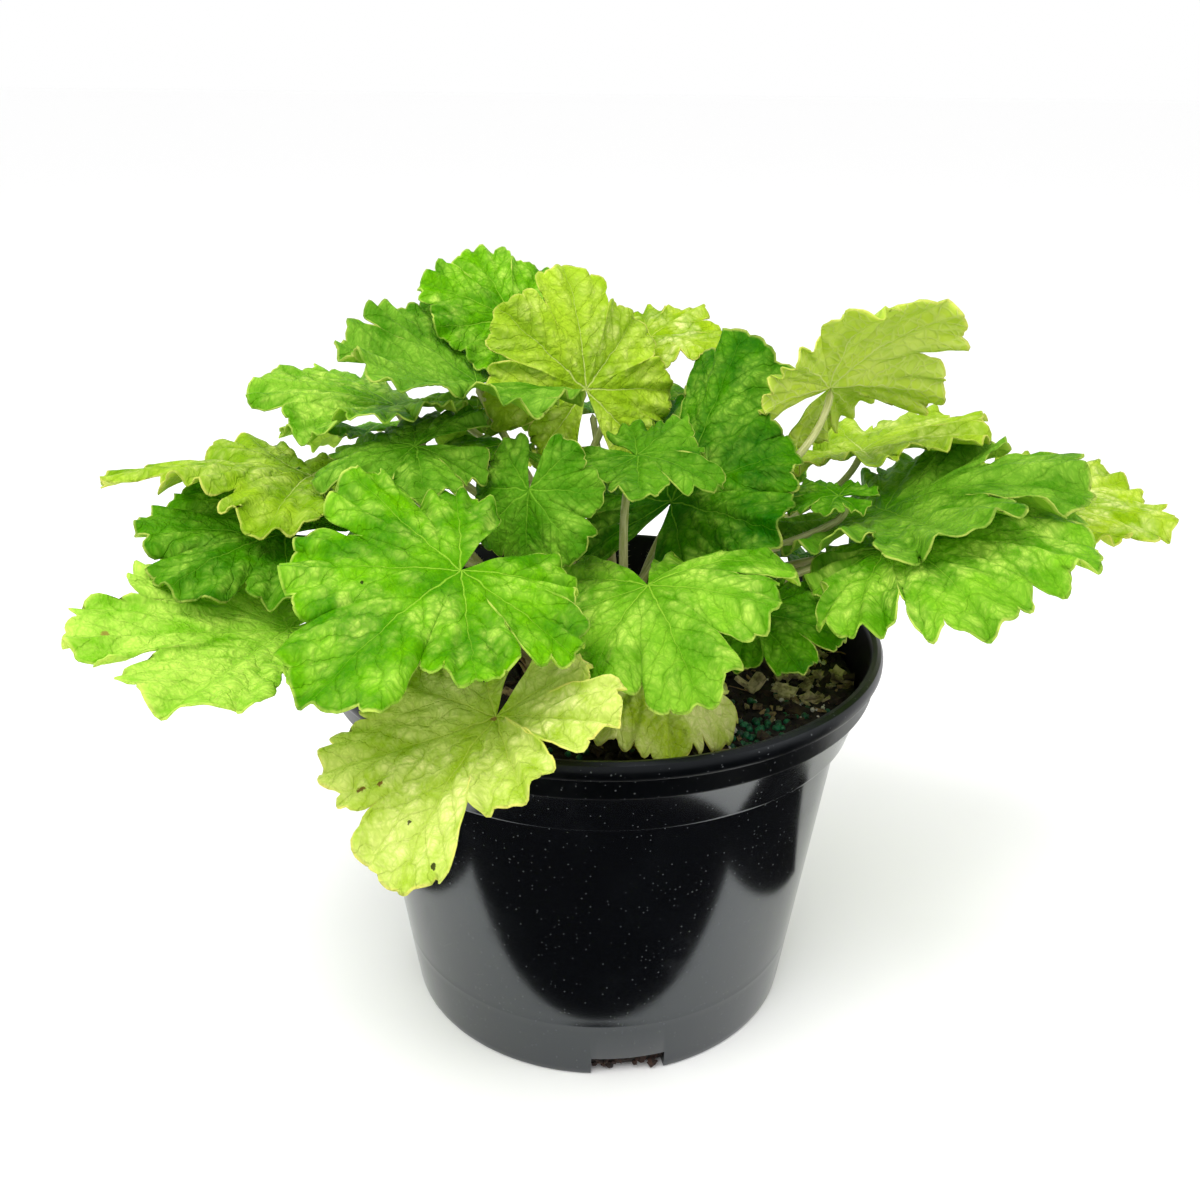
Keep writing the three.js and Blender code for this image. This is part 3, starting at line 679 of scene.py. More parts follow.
def spot_in_drain(draw):
    """A place in one of the drain notches, where dark crumbs stand for compost and painted shade.
    """
    bearing = math.radians(NOTCH_BEARING + draw.randrange(NOTCH_COUNT) * 360 / NOTCH_COUNT)
    out, across = draw.uniform(*DRAIN_OUT), draw.uniform(-DRAIN_SIDE, DRAIN_SIDE)
    x = out * math.cos(bearing) - across * math.sin(bearing)
    y = out * math.sin(bearing) + across * math.cos(bearing)
    return x, y, draw.uniform(*DRAIN_LEVELS)


def strew(seed, shapes, count, smallest, largest, sink, tilt, clumps):
    """Copies of the shapes, turned at random and set down on the soil or in the drains."""
    draw = random.Random(seed)
    local = [points_of(shape) for shape in shapes]
    copies = []
    for i in range(count):
        which = i % len(shapes)
        size = smallest + (largest - smallest) * draw.random() ** 2
        if clumps == DRAINS:
            x, y, z = spot_in_drain(draw)
        else:
            x, y, z = spot_on_soil(draw, clumps if i % 4 else ())
        turn = Matrix.Rotation(draw.uniform(0, 2 * math.pi), 3, "Z")
        lean = Matrix.Rotation(draw.uniform(-tilt, tilt), 3, "X")
        lean = lean @ Matrix.Rotation(draw.uniform(-tilt, tilt), 3, "Y")
        places = rotated(local[which] * size, turn @ lean)
        copies.append(copy_of(shapes[which], places + [x, y, z + sink * size]))
    for shape in shapes:
        bpy.data.objects.remove(shape)
    return copies


print(len(CHIP_CLUMPS), "clumps of chips,", len(PRILL_CLUMPS), "clumps of prills")

# %% [markdown]
# ### Kinds of bits
# Soil, bark, grit and prills differ in tone and gloss, but all are mottled. So one function
# makes every finish: noise mixes a dark and a pale colour, and a finer noise is the bump. Then
# each kind is strewn and joined, and all of them are joined with the body.


# %% Kinds of bits
def compost_finish(name, dark, pale, scale, contrast, roughness, bump=0.0006):
    finish = Finish(name)
    where = finish.place()
    tone = finish.ramp(finish.noise(where, scale, 4.0, 0.65), 0.5 - contrast, 0.5 + contrast)
    fine = finish.noise(where, scale * 7, 3.0, 0.7)
    colour = finish.blend(tone, rgb(dark), rgb(pale))
    return finish.finish(finish.surface(colour, roughness, Normal=finish.bump(fine, 0.6, bump)))


KINDS = [
    # shapes, count, smallest, largest, sink, tilt, clumps, finish
    ([crumb_shape(0.35, n) for n in range(4)], 1500, 0.6, 2.2, 0.1, 3.0, (),
     ("crumbs", "0a0705", "2c2017", 300, 0.2, 0.95)),
    ([chip_shape(n) for n in range(4)], 170, 1.0, 2.8, 0.3, 0.7, (),
     ("small bark chips", "3c2e1c", "a48a60", 220, 0.16, 0.85)),
    ([chip_shape(n + 4) for n in range(4)], 150, 1.2, 4.2, 0.4, 0.7, CHIP_CLUMPS,
     ("pale bark chips", "5c5030", "d6c698", 200, 0.18, 0.85)),
    ([chip_shape(n + 9) for n in range(3)], 240, 1.0, 4.2, 0.2, 0.7, (),
     ("dark bark", "120c08", "443222", 260, 0.2, 0.9)),
    ([prill_shape()], 210, 0.9, 1.45, 0.3, 3.0, PRILL_CLUMPS,
     ("prills", "022c1a", "0e6a42", 300, 0.2, 0.3)),
    ([crumb_shape(0.25, 30 + n) for n in range(2)], 220, 0.4, 1.2, 0.4, 3.0, CHIP_CLUMPS,
     ("grit", "a39a86", "f0ece0", 500, 0.25, 0.8)),
    ([root_shape(n) for n in range(3)], 70, 4.0, 10.0, 0.04, 0.15, (),
     ("rootlets", "6a4a2e", "c0a072", 300, 0.25, 0.8)),
    # Painted shade, in part: dark crumbs in the drain notches stand in for their shadowed inside.
    ([crumb_shape(0.35, 40 + n) for n in range(3)], 700, 0.9, 1.8, 0.0, 3.0, DRAINS,
     ("crumbs in the drains", "0c0705", "3a241a", 300, 0.2, 0.95)),
]
bits = []
for seed, (*kind, look) in enumerate(KINDS):
    bits.append(join(strew(seed, *kind), look[0]))
    dress(bits[-1], compost_finish(*look))
dress(soil, compost_finish("peaty soil", "080604", "2a1e14", 420, 0.2, 0.96, 0.0012))
soil = join([soil] + bits, "compost")
hand_over(soil, "soil")
print("compost with its bits:", len(soil.data.polygons), "faces")

# %% [markdown]
# ## Crown
# The crown is the short woody stock that every leaf grows from. Old leaf bases wrap it in dry
# brown scales. A turned dome, roughened by noise, is its body. The scales are one small curved
# plate, copied in rings round it.

# %% Crown
CROWN_RISE = 5
CROWN_STEPS = 72
CROWN_OUTLINE = [
    (0, SOIL_LEVEL - CROWN_SINK + SOIL_GAP),
    (CROWN_RADIUS, SOIL_LEVEL - CROWN_SINK + SOIL_GAP),
    (CROWN_RADIUS, SOIL_LEVEL - 3),
    (CROWN_RADIUS - 0.6, SOIL_LEVEL - 1.4),
    (0.88 * CROWN_RADIUS, SOIL_LEVEL + 0.3 * CROWN_RISE),
    (0.72 * CROWN_RADIUS, SOIL_LEVEL + 0.6 * CROWN_RISE),
    (0.5 * CROWN_RADIUS, SOIL_LEVEL + 0.78 * CROWN_RISE),
    (0.28 * CROWN_RADIUS, SOIL_LEVEL + 0.92 * CROWN_RISE),
    (0, SOIL_LEVEL + CROWN_RISE),
]
SCALE_RINGS = [(10, 0.2), (16, 0.45), (22, 0.7), (26, 0.93)]  # how many, share of the radius
SCALE_SIZES = (2.2, 3.6)
SCALE_STEPS = 6


def sheath_scale():
    """A pointed, hollowed plate, about 2 wide and 3 tall, that leans outwards."""
    plate, column, row = new_grid("scale", SCALE_STEPS, SCALE_STEPS)
    across = 2 * column / SCALE_STEPS - 1
    height = row / SCALE_STEPS
    width = np.sqrt(np.maximum(0, 1 - height**1.6)) * (1 - 0.1 * height)
    x = across * width
    y = -0.55 * x**2 + 0.35 * height + 0.25 * height**2
    move_points(plate, np.stack([x, y, 2.6 * height - 0.7], axis=1))
    edit(plate, merge_close)
    modify(plate, "SOLIDIFY", thickness=0.12)
    shade_smooth(plate)
    return plate


def ring_of_scales(plate, count, share, seed):
    draw = random.Random(seed)
    local = points_of(plate)
    radii, heights = zip(*reversed(CROWN_OUTLINE[3:]))
    height = float(np.interp(share * CROWN_RADIUS, radii, heights))
    copies = []
    for i in range(count):
        size = draw.uniform(*SCALE_SIZES)
        bearing = 2 * math.pi * (i + draw.uniform(-0.3, 0.3)) / count - math.pi / 2
        turn = Matrix.Rotation(bearing, 3, "Z")
        lean = Matrix.Rotation(draw.uniform(-0.7, -0.1), 3, "X")
        places = rotated(local * size, lean)
        places[:, 1] += share * CROWN_RADIUS + draw.uniform(-1.5, 1.5)
        copies.append(copy_of(plate, rotated(places, turn) + [0, 0, height]))
    return copies


crown = turned_piece("crown_body", CROWN_OUTLINE, CROWN_STEPS)
places = points_of(crown)
for i, place in enumerate(places):
    if place[2] > (SOIL_LEVEL - 2) * MM:
        places[i, 2] += 0.9 * MM * noise.noise(Vector(place) * 180)
move_points(crown, places)
shade_smooth(crown)
plate = sheath_scale()
scales = []
for seed, (count, share) in enumerate(SCALE_RINGS):
    scales += ring_of_scales(plate, count, share, seed)
bpy.data.objects.remove(plate)
scales = join(scales, "sheath_scales")
dress(crown, compost_finish("woody crown", "2c1d12", "6e5136", 240, 0.25, 0.9, 0.001))
dress(scales, compost_finish("dry sheaths", "7a5a38", "c9ad7c", 180, 0.25, 0.75))
crown = join([crown, scales], "crown_stock")
hand_over(crown, "crown")
print("crown:", len(crown.data.polygons), "faces")

# %% [markdown]
# ## Shape of a leaf
# A heuchera blade is round with seven lobes, and each lobe has a main vein that starts at the
# hub, where the stalk joins. No operator draws that outline, so we lay a flat grid and send each
# of its points to its place: the grid's columns fan out round the hub, and its rows run from the
# hub to the margin. The same few numbers as in the solid model bend the blade, so the fine leaf
# takes the form of the plain one: a cup at the hub, a droop outwards, lobes that curl and lift
# differently, and a ruffled margin. The fine grid adds what the plain one can't hold: small
# round teeth, a second, tighter ruffle, and a quilted surface that sinks along the veins.
# "Share" always means a fraction of the way, such as from the hub to the margin. Angles start at
# the midrib, and lengths on the blade are shares of the leaf's size.

# %% Numbers that every leaf shares
LOBE_ANGLES = np.radians([-138, -92, -46, 0, 46, 92, 138])
LOBE_LENGTHS = np.array([0.68, 0.82, 0.94, 1, 0.94, 0.82, 0.68])
LOBES = len(LOBE_ANGLES)
LOBE_SCATTER = 0.07
LOBE_CURL = 0.38
LOBE_LIFT = 0.16
USUAL_CUP = 0.12
USUAL_CUTS = (0.34, 0.38, 0.38, 0.38, 0.38, 0.34)
BASAL_CUT = 0.3
USUAL_SIZE = 56
COLUMNS_PER_LOBE = 50


def scatter(seed, n):
    """A repeatable number from -1 to 1 for each pair of whole numbers."""
    v = math.sin(seed * 127.1 + n * 311.7) * 43758.5453
    return (v - math.floor(v)) * 2 - 1


print("lobes of a leaf:", LOBES)

# %% [markdown]
# ### The record of a leaf
# Every leaf has a record that holds its own numbers. A few are given, and the rest are scattered
# about the usual ones, so that no two leaves have the same lobes. Its frame is three directions:
# along the midrib, to its left, and out of the upper face.


# %% The record of a leaf
class Leaf:
    """One leaf: the numbers that it is given, and those that follow from them."""

    def __init__(self, name, seed, tone, hub, foot, turn, size, droop, paler=0, cup=USUAL_CUP,
                 bow=(0, 0, 0), lobes=(1,) * LOBES, curls=(0,) * LOBES, cuts=USUAL_CUTS):
        self.name = name
        self.node = "leaf_" + name
        self.seed = seed
        self.tone = tone
        self.paler = paler
        self.hub = np.array(hub, float)
        self.foot = foot
        self.size = size
        self.droop = droop
        self.cup = cup
        self.bow = np.array(bow, float)
        own = [1 + LOBE_SCATTER * scatter(seed, 10 + k) for k in range(LOBES)]
        self.lengths = LOBE_LENGTHS * np.array(lobes) * own
        self.curls = np.array([LOBE_CURL * scatter(seed, 30 + k) for k in range(LOBES)]) + curls
        self.cuts = np.array([BASAL_CUT, *cuts, BASAL_CUT])
        self.lifts = np.array([LOBE_LIFT * scatter(seed, 50 + k) for k in range(LOBES)])
        self.set_frame(*(math.radians(angle) for angle in turn))
        self.columns = round(COLUMNS_PER_LOBE * size / USUAL_SIZE)

    def set_frame(self, heading, pitch, roll):
        """Axes of the blade: along the midrib, to its left, and out of the upper face."""
        x, y, level_share = math.cos(heading), math.sin(heading), math.cos(pitch)
        along = Vector((x * level_share, y * level_share, -math.sin(pitch)))
        left = Matrix.Rotation(roll, 3, along) @ Vector((-y, x, 0))
        self.frame = np.array([along, left, along.cross(left)])


print("columns on a leaf of the usual size:", LOBES * COLUMNS_PER_LOBE)

# %% [markdown]
# ### The leaves
# They are given as a grower would describe them: the name, a number of its own, the tone, where
# the hub is, where the stalk leaves the crown, how the blade turns (which way the midrib heads,
# how far it tips and rolls), its size from hub to tip, and how much it droops. Some have more: a
# paler or, below zero, deeper colour, their own cup, a bow in the stalk, longer or shorter
# lobes, curls, and cuts between the lobes. Millimetres and degrees.

# %% The leaves
LEAVES = [
    Leaf("front_left", 1, "lime", (-41, -80, 194), (-4, -13), (-125, 9, -16), 55, 0.4, cup=0.1,
         bow=(-3, 0, 0), lobes=(0.9, 1.05, 1, 1.08, 0.82, 0.95, 0.95),
         cuts=(0.3, 0.5, 0.25, 0.25, 0.6, 0.25)),
    Leaf("over_rim", 2, "gold", (-31, -90, 152), (-10, -19), (-119, 28, 6), 55, 0.33, paler=0.5,
         cup=0.21, lobes=(1, 1, 1, 1.15, 0.75, 0.96, 0.87), cuts=(0.3, 0.3, 0.3, 0.25, 0.75, 0.35),
         curls=(0, 0, -0.31, 0.26, -0.11, 0.07, -0.15)),
    Leaf("front_right", 3, "lime", (14, -53, 179), (4, -20), (-78, 3, 19), 49, 0.75, paler=0.2,
         cup=0.05, lobes=(1.15, 0.9, 0.95, 1.1, 0.9, 1.25, 1.1),
         cuts=(0.3, 0.38, 0.38, 0.38, 0.6, 0.38)),
    # For in_pot_front, paler=1.0 is painted light: it lightens a leaf that lies in the shade of
    # front_right above it.
    Leaf("in_pot_front", 4, "gold", (16, -50, 149), (7, -15), (-75, 10, -10), 36, 0.7, paler=1.0,
         cuts=(0.3, 0.2, 0.12, 0.12, 0.2, 0.3)),
    Leaf("in_pot_right", 5, "green", (50, -28, 159), (13, -8), (-15, 5, 17), 31, 0.5),
    Leaf("left_low", 6, "lime", (-98, -58, 165), (-20, -10), (-148, 1, -9), 62, 0.25, paler=0.8,
         cup=0.2, lobes=(1, 1.27, 0.9, 1, 1.15, 1, 1), curls=(0, -0.37, 0, -0.02, -0.11, 0, 0)),
    Leaf("left_mid", 7, "green", (-105, -26, 185), (-20, 8), (194, -10, -12), 49, 0.56, cup=0.13,
         bow=(-3, 0, -3), lobes=(1, 1, 1.05, 0.91, 1.07, 1, 1),
         curls=(0, 0, 0.12, -0.32, 0.22, 0, 0)),
    Leaf("left_far", 8, "pale", (-102, 3, 196), (-14, 4), (175, -8, 9), 63, 0.43, paler=-0.4,
         cup=0.13, bow=(6, 3, 0), lobes=(1, 1, 0.95, 1.16, 0.9, 1, 1),
         curls=(0, 0, -0.31, -0.01, 0.28, 0, 0)),
    Leaf("left_top", 9, "lime", (-74, 19, 217), (-14, -2), (175, -4, 3), 50, 0.38, paler=0.3,
         cup=0.14, bow=(-3, 0, 0), lobes=(1, 1, 0.98, 1.09, 0.9, 1, 1),
         curls=(0, 0, -0.17, 0.18, -0.15, 0, 0)),
    Leaf("left_curled", 10, "green", (-62, -18, 213), (-12, 19), (-170, 9, -12), 42, 0.6,
         paler=0.3, cup=0.15, lobes=(1, 1, 0.91, 0.92, 0.92, 1.02, 1),
         curls=(0, 0, -0.33, 0.35, -0.25, 0.03, 0)),
    Leaf("centre_small", 11, "green", (-24, -32, 203), (-10, -9), (-105, 58, 5), 30, 0.7,
         paler=0.25, bow=(3, 0, 0)),
    Leaf("top_left_big", 12, "green", (-45, 17, 226), (-8, 23), (199, -13, -3), 57, 0.1,
         paler=0.35, cup=0.24, bow=(0, 6, 0), lobes=(1, 1.14, 0.86, 0.92, 1.13, 1, 1),
         curls=(0, -0.2, 0, -0.13, -0.39, 0, 0)),
    Leaf("top_left_back", 13, "lime", (-34, 51, 242), (-11, 12), (172, -15, -28), 40, 0.24,
         cup=0.22, lobes=(1, 1.03, 0.92, 0.97, 0.95, 1, 1),
         curls=(0, -0.44, -0.05, 0.32, -0.24, 0, 0)),
    Leaf("top_back_turned", 14, "pale", (-7, 31, 221), (-9, 7), (106, -74, 12), 45, 0.2),
    Leaf("top_right_edge", 15, "gold", (18, 78, 231), (-15, -15), (3, -6, 5), 35, 0.25, cup=0.15,
         lobes=(1, 1, 1, 0.89, 0.96, 1, 1), curls=(0, 0, 0, -0.18, 0.06, -0.08, 0)),
    Leaf("right_centre", 16, "green", (24, 9, 186), (0, 4), (48, -47, -11), 60, 0.43, paler=-0.3,
         cup=0.13, lobes=(1, 0.98, 0.86, 1.13, 1, 1, 1), curls=(0, -0.23, 0.39, -0.24, 0.05, 0, 0)),
    Leaf("centre_right_small", 17, "green", (11, -9, 208), (7, -9), (-45, -2, 10), 32, 0.38,
         paler=0.15, cup=0.14, lobes=(1, 1, 1, 1.05, 0.75, 1, 1),
         curls=(0, 0, -0.04, -0.02, -0.08, 0, 0)),
    Leaf("right_top", 18, "pale", (80, 25, 224), (13, 8), (-5, -43, -45), 48, 0.6, paler=0.2,
         lobes=(0.85, 0.85, 1, 1.05, 0.95, 0.8, 0.9)),
    Leaf("right_back", 19, "pale", (101, 60, 191), (14, 19), (2, -19, -10), 51, 0.39, cup=0.13,
         lobes=(1, 1, 1.05, 0.92, 1.04, 1, 1), curls=(0, 0, -0.14, 0.04, -0.03, 0, 0)),
    Leaf("right_big", 20, "lime", (97, -17, 180), (22, -10), (-32, -26, 8), 64, 0.8, paler=0.15,
         lobes=(0.7, 0.85, 1, 1.1, 1.1, 1, 0.95), cuts=(0.3, 0.45, 0.38, 0.38, 0.38, 0.38)),
    Leaf("right_upper", 21, "green", (103, 20, 180), (23, -4), (-36, -25, 12), 68, 0.37, paler=0.4,
         cup=0.18, bow=(0, 3, 0), lobes=(1, 1, 1.19, 1.08, 0.75, 1.17, 1),
         curls=(0, 0, -0.14, 0.21, -0.4, 0.18, 0)),
    Leaf("right_far", 22, "gold", (157, 40, 176), (22, 3), (-25, 3, 6), 54, 0.37, cup=0.14,
         bow=(3, -3, 0), lobes=(1, 1, 0.97, 1.08, 1, 1, 1), curls=(0, 0, -0.11, 0.15, -0.2, 0, 0)),
    Leaf("right_tiny", 23, "green", (81, -1, 192), (10, 1), (155, 5, 0), 22, 0.4, bow=(0, 0, 15)),
    Leaf("mid_left_small", 24, "lime", (-35, 2, 208), (-4, -5), (140, -10, 15), 28, 0.7),
    Leaf("mid_left_low", 25, "green", (-45, 36, 193), (-17, 14), (150, 5, 0), 28, 0.5,
         bow=(0, -3, 0)),
    Leaf("back_middle", 27, "green", (-5, 88, 198), (4, 18), (95, 10, -5), 52, 0.4),
    Leaf("back_right", 28, "lime", (46, 81, 196), (21, 12), (60, 10, 20), 50, 0.4),
    Leaf("back_left", 29, "green", (-56, 72, 197), (-4, 16), (145, 27, 0), 46, 0.4, bow=(6, 0, 0)),
    Leaf("back_far_left", 30, "lime", (-91, 56, 198), (-24, -4), (130, 0, 10), 36, 0.3,
         bow=(3, 3, 3)),
    Leaf("back_low_left", 32, "gold", (-40, 93, 179), (7, 6), (112, 18, 0), 44, 0.4),
    Leaf("back_low_right", 33, "green", (39, 97, 177), (9, 14), (70, 13, 0), 44, 0.4,
         bow=(0, -3, 0)),
    Leaf("left_under", 34, "green", (-95, 15, 159), (-23, 2), (178, 15, 0), 40, 0.5),
    Leaf("right_under", 35, "green", (76, 43, 153), (6, 23), (20, 10, 0), 34, 0.5, bow=(3, -3, 0)),
]
print(len(LEAVES), "leaves")

# %% [markdown]
# ### From a flat grid to a curled blade
# First comes the margin on the flat blade, lobe by lobe. The grid's columns are spread evenly
# along it, and a lobe holds a whole number of teeth. Each tooth is a round bulge that stands out
# straight from the margin, also on the sides of a lobe, with a narrow notch beside it.


# %% Margin and its teeth
CUT_ANGLES = np.radians([-166, -115, -69, -23, 23, 69, 115, 166])
SINUS_POWER = 5
LOBE_TAPER = 0.12
SUBLOBE_DEPTH = 0.08
LOBE_FLARE = 0.24
TOOTH_WIDTH = 7.5  # millimetres
TOOTH_BASE = 0.6
SIDE_WEIGHT = 0.6
MARGIN_STEPS = 241  # points along the margin of one lobe, to measure it


def scallop(phase):
    """Round bulges with narrow notches: 1 on each top, 0 at each whole number."""
    return np.sqrt(np.maximum(0, 1 - (2 * (phase % 1) - 1) ** 2))


def edge_reach(leaf, lobe, across):
    """How far the margin lies from the hub, as a share of the leaf's size."""
    wide = np.abs(across)
    after = leaf.lengths[np.minimum(lobe + 1, LOBES - 1)]
    own = leaf.lengths[lobe]
    length = np.where(across > 0, own + (after - own) * wide**6, own)
    sublobe = scallop(1.5 * (across + 1)) - 1
    cut = np.where(across < 0, leaf.cuts[lobe], leaf.cuts[lobe + 1]) - LOBE_TAPER
    shape = 1 - LOBE_TAPER * wide**2 - cut * wide**SINUS_POWER
    return length * (shape + SUBLOBE_DEPTH * sublobe * (1 - 0.35 * wide))


def edge_angle(lobe, across, share):
    centre = LOBE_ANGLES[lobe]
    cut = np.where(across < 0, CUT_ANGLES[lobe], CUT_ANGLES[lobe + 1])
    half = np.abs(cut - centre)
    return centre + half * (across + LOBE_FLARE * np.sin(math.pi * across) * share**2)


def plan_lobe(leaf, lobe):
    """Place across the lobe, tooth height and the way the tooth points, for its columns."""
    fine = np.linspace(-1, 1, MARGIN_STEPS)
    angle = edge_angle(lobe, fine, 1)
    reach = edge_reach(leaf, lobe, fine)
    step = np.hypot(SIDE_WEIGHT * np.diff(reach), reach[1:] * np.diff(angle))
    run = np.concatenate([[0], np.cumsum(step)])
    teeth = max(3, round(run[-1] * leaf.size / TOOTH_WIDTH))
    run /= run[-1]
    across = np.interp(np.linspace(0, 1, leaf.columns + 1), run, fine)
    run = np.linspace(0, 1, leaf.columns + 1)
    run = run + 0.014 * np.sin(math.pi * run) * np.sin(17 * run + leaf.seed + lobe)
    uneven = 0.8 + 0.2 * np.sin(3.3 * across + 1.7 * lobe + leaf.seed)
    tooth = (scallop(teeth * run) - TOOTH_BASE) * uneven * (1 - np.abs(across) ** 12)
    edge = np.stack([reach * np.cos(angle), reach * np.sin(angle)])
    away = np.stack([np.gradient(edge[1]), -np.gradient(edge[0])])
    away /= np.hypot(*away)
    outward = [np.interp(across, fine, part) for part in away]
    return np.stack([np.full(len(across), lobe), across, tooth, *outward])


def plan_columns(leaf):
    """The plan of every column, lobe after lobe. Neighbouring lobes share a column."""
    plans = [plan_lobe(leaf, lobe) for lobe in range(LOBES)]
    return np.hstack([plan[:, :-1] for plan in plans] + [plans[-1][:, -1:]])


print("columns on the first leaf:", plan_columns(LEAVES[0]).shape[1])

# %% [markdown]
# ### The formula of a blade
# `blade_places` bends the flat blade. From the hub outwards each line follows an arc of a circle,
# whose bend differs from lobe to lobe, and waves are added towards the margin. It returns the
# curled blade and, beside it, the flat coordinates that the veins and the colours follow.


# %% Blade formula
TOOTH_DEPTH = 0.036
TOOTH_CRISP = 0.02
RUFFLE = 0.035
FINE_RUFFLE = 0.033
PUCKER_HEIGHT = 0.018
PUCKER_SCALE = 1.3
BRANCH_SPACING = 0.15
BRANCH_SLANT = 1.1
QUILT_HEIGHT = 0.014
FURROW_WIDTH = 0.035


def round_the_lobes(values, angle):
    """Blends seven values, one for each lobe, smoothly round the hub."""
    spot = np.interp(angle, LOBE_ANGLES, np.arange(LOBES))
    first = np.minimum(spot.astype(int), LOBES - 2)
    share = spot - first
    share = share * share * (3 - 2 * share)
    return values[first] * (1 - share) + values[first + 1] * share


def flat_places(leaf, plan, share):
    """Angle and distance on the flat blade, teeth included."""
    lobe = plan[0].astype(int)
    angle = edge_angle(lobe, plan[1], share)
    distance = edge_reach(leaf, lobe, plan[1]) * share
    push = TOOTH_DEPTH * plan[2] * share**8
    x = distance * np.cos(angle) + push * plan[3]
    y = distance * np.sin(angle) + push * plan[4]
    return lobe, np.arctan2(y, x), np.hypot(x, y)


def blade_places(leaf, plan, share):
    """Curled places in the blade's own frame, and angle and distance on the flat blade."""
    lobe, angle, distance = flat_places(leaf, plan, share)
    rise = leaf.cup + round_the_lobes(leaf.lifts, angle)
    arch = 0.15 * np.maximum(0, np.cos(angle))
    bend = np.minimum(-0.001, -(leaf.droop + arch + round_the_lobes(leaf.curls, angle)))
    out = (np.sin(rise + bend * distance) - np.sin(rise)) / bend
    up = (np.cos(rise) - np.cos(rise + bend * distance)) / bend
    wave = np.sin(7 * angle + 3 * scatter(leaf.seed, 70))
    wave += 0.6 * np.sin(13 * angle + 3 * scatter(leaf.seed, 71))
    fine = np.sin(23 * angle + 3 * scatter(leaf.seed, 72)) + 0.45 * np.sin(41 * angle + leaf.seed)
    up += RUFFLE * share**2.5 * wave + FINE_RUFFLE * share**3.5 * fine
    up += TOOTH_CRISP * share**6 * plan[2]
    up += quilt(lobe, angle, distance, share)
    curled = leaf.size * np.stack([out * np.cos(angle), out * np.sin(angle), up], axis=1)
    curled[:, 2] += leaf.size * PUCKER_HEIGHT * pucker(leaf, curled / 10) * share
    return curled, angle, distance


def pucker(leaf, places):
    """Soft swellings about a centimetre wide, from Blender's noise."""
    shift = Vector((leaf.seed, 0, 0)) * 5
    return np.array([noise.noise(PUCKER_SCALE * Vector(place) + shift) for place in places])


def vein_place(lobe, angle, distance):
    """Where a point lies in its lobe: along the chain of side veins, and across the main vein."""
    off = angle - LOBE_ANGLES[lobe]
    along = distance * (np.cos(off) - BRANCH_SLANT * np.abs(np.sin(off)))
    return along / BRANCH_SPACING, distance * np.sin(off)


def quilt(lobe, angle, distance, share):
    """The blade swells between the veins and sinks along them."""
    along, across = vein_place(lobe, angle, distance)
    side = 0.5 - 0.5 * np.cos(2 * math.pi * along)
    main = 1 - np.exp(-((across / FURROW_WIDTH) ** 2))
    fade = np.minimum(1, 4 * distance) * (1 - 0.6 * share**6)
    return QUILT_HEIGHT * fade * (side * main + 0.8 * main - 1)


rim = blade_places(LEAVES[0], plan_columns(LEAVES[0]), 1)[0]
print("first leaf, curled:", np.ptp(rim, axis=0).round(1), "mm")

# %% [markdown]
# ### The blade as a mesh
# The sheet carries two UV maps. "blade" holds the flat place in centimetres, for the net of
# small veins and the clouds. "veins" holds the place within a lobe, in steps of one side vein,
# and the distance from the main vein. Its values jump where two lobes meet, so they are set for
# each corner of a face and not for each point. "reach" says how near the margin a point is.
# Stalks get maps of the same names, which hold the place round and along the stalk, because the
# two are joined in the end.


# %% Blade mesh
BLADE_ROWS = 17
ROW_CROWDING = 0.8  # below 1, rows crowd towards the margin
FLAT_SHIFT = 7.3  # centimetres on the map from one leaf to the next, so that no two are alike


def corner_points(piece):
    """The number of the point at each corner of each face."""
    corner = np.zeros(len(piece.data.loops), int)
    piece.data.loops.foreach_get("vertex_index", corner)
    return corner


def corner_lobes(leaf, sheet, of_corner):
    """For each corner of a face, the lobe that holds the middle of the face."""
    middle = np.zeros(len(of_corner))
    for face in sheet.data.polygons:
        span = slice(face.loop_start, face.loop_start + face.loop_total)
        middle[span] = of_corner[span].mean()
    return np.minimum((middle / leaf.columns).astype(int), LOBES - 1)


def add_maps(piece, reach, **maps):
    """Adds UV maps, given for each corner, and the reach, given for each point."""
    for name, pairs in maps.items():
        piece.data.uv_layers.new(name=name).data.foreach_set("uv", pairs.ravel())
    attribute = piece.data.attributes.new("reach", "FLOAT", "POINT")
    attribute.data.foreach_set("value", reach)


def make_blade(leaf):
    columns = LOBES * leaf.columns
    sheet, column, row = new_grid("blade", columns, BLADE_ROWS)
    share = (row / BLADE_ROWS) ** ROW_CROWDING
    curled, angle, distance = blade_places(leaf, plan_columns(leaf)[:, column], share)
    corner = corner_points(sheet)
    lobe = corner_lobes(leaf, sheet, column[corner])
    flat = leaf.size / 10 * distance[:, None] * np.stack([np.cos(angle), np.sin(angle)], axis=1)
    along, off = vein_place(lobe, angle[corner], distance[corner])
    veins = np.stack([along, off * leaf.size / 10], axis=1)
    add_maps(sheet, share, blade=flat[corner] + FLAT_SHIFT * leaf.seed, veins=veins)
    move_points(sheet, (curled @ leaf.frame + leaf.hub) * MM)
    edit(sheet, merge_close, bpy.ops.mesh.flip_normals)
    return sheet


print("faces of a usual blade:", LOBES * COLUMNS_PER_LOBE * BLADE_ROWS)

# %% [markdown]
# ### Stalk
# The stalk leaves the crown steeply, arches, and meets the hub from below and behind: a cubic
# curve with four control points. A grid rolled round that curve makes a tube of any taper. The
# base is a little flared, as it sheathes the crown, and both ends close to a point inside what
# they join.


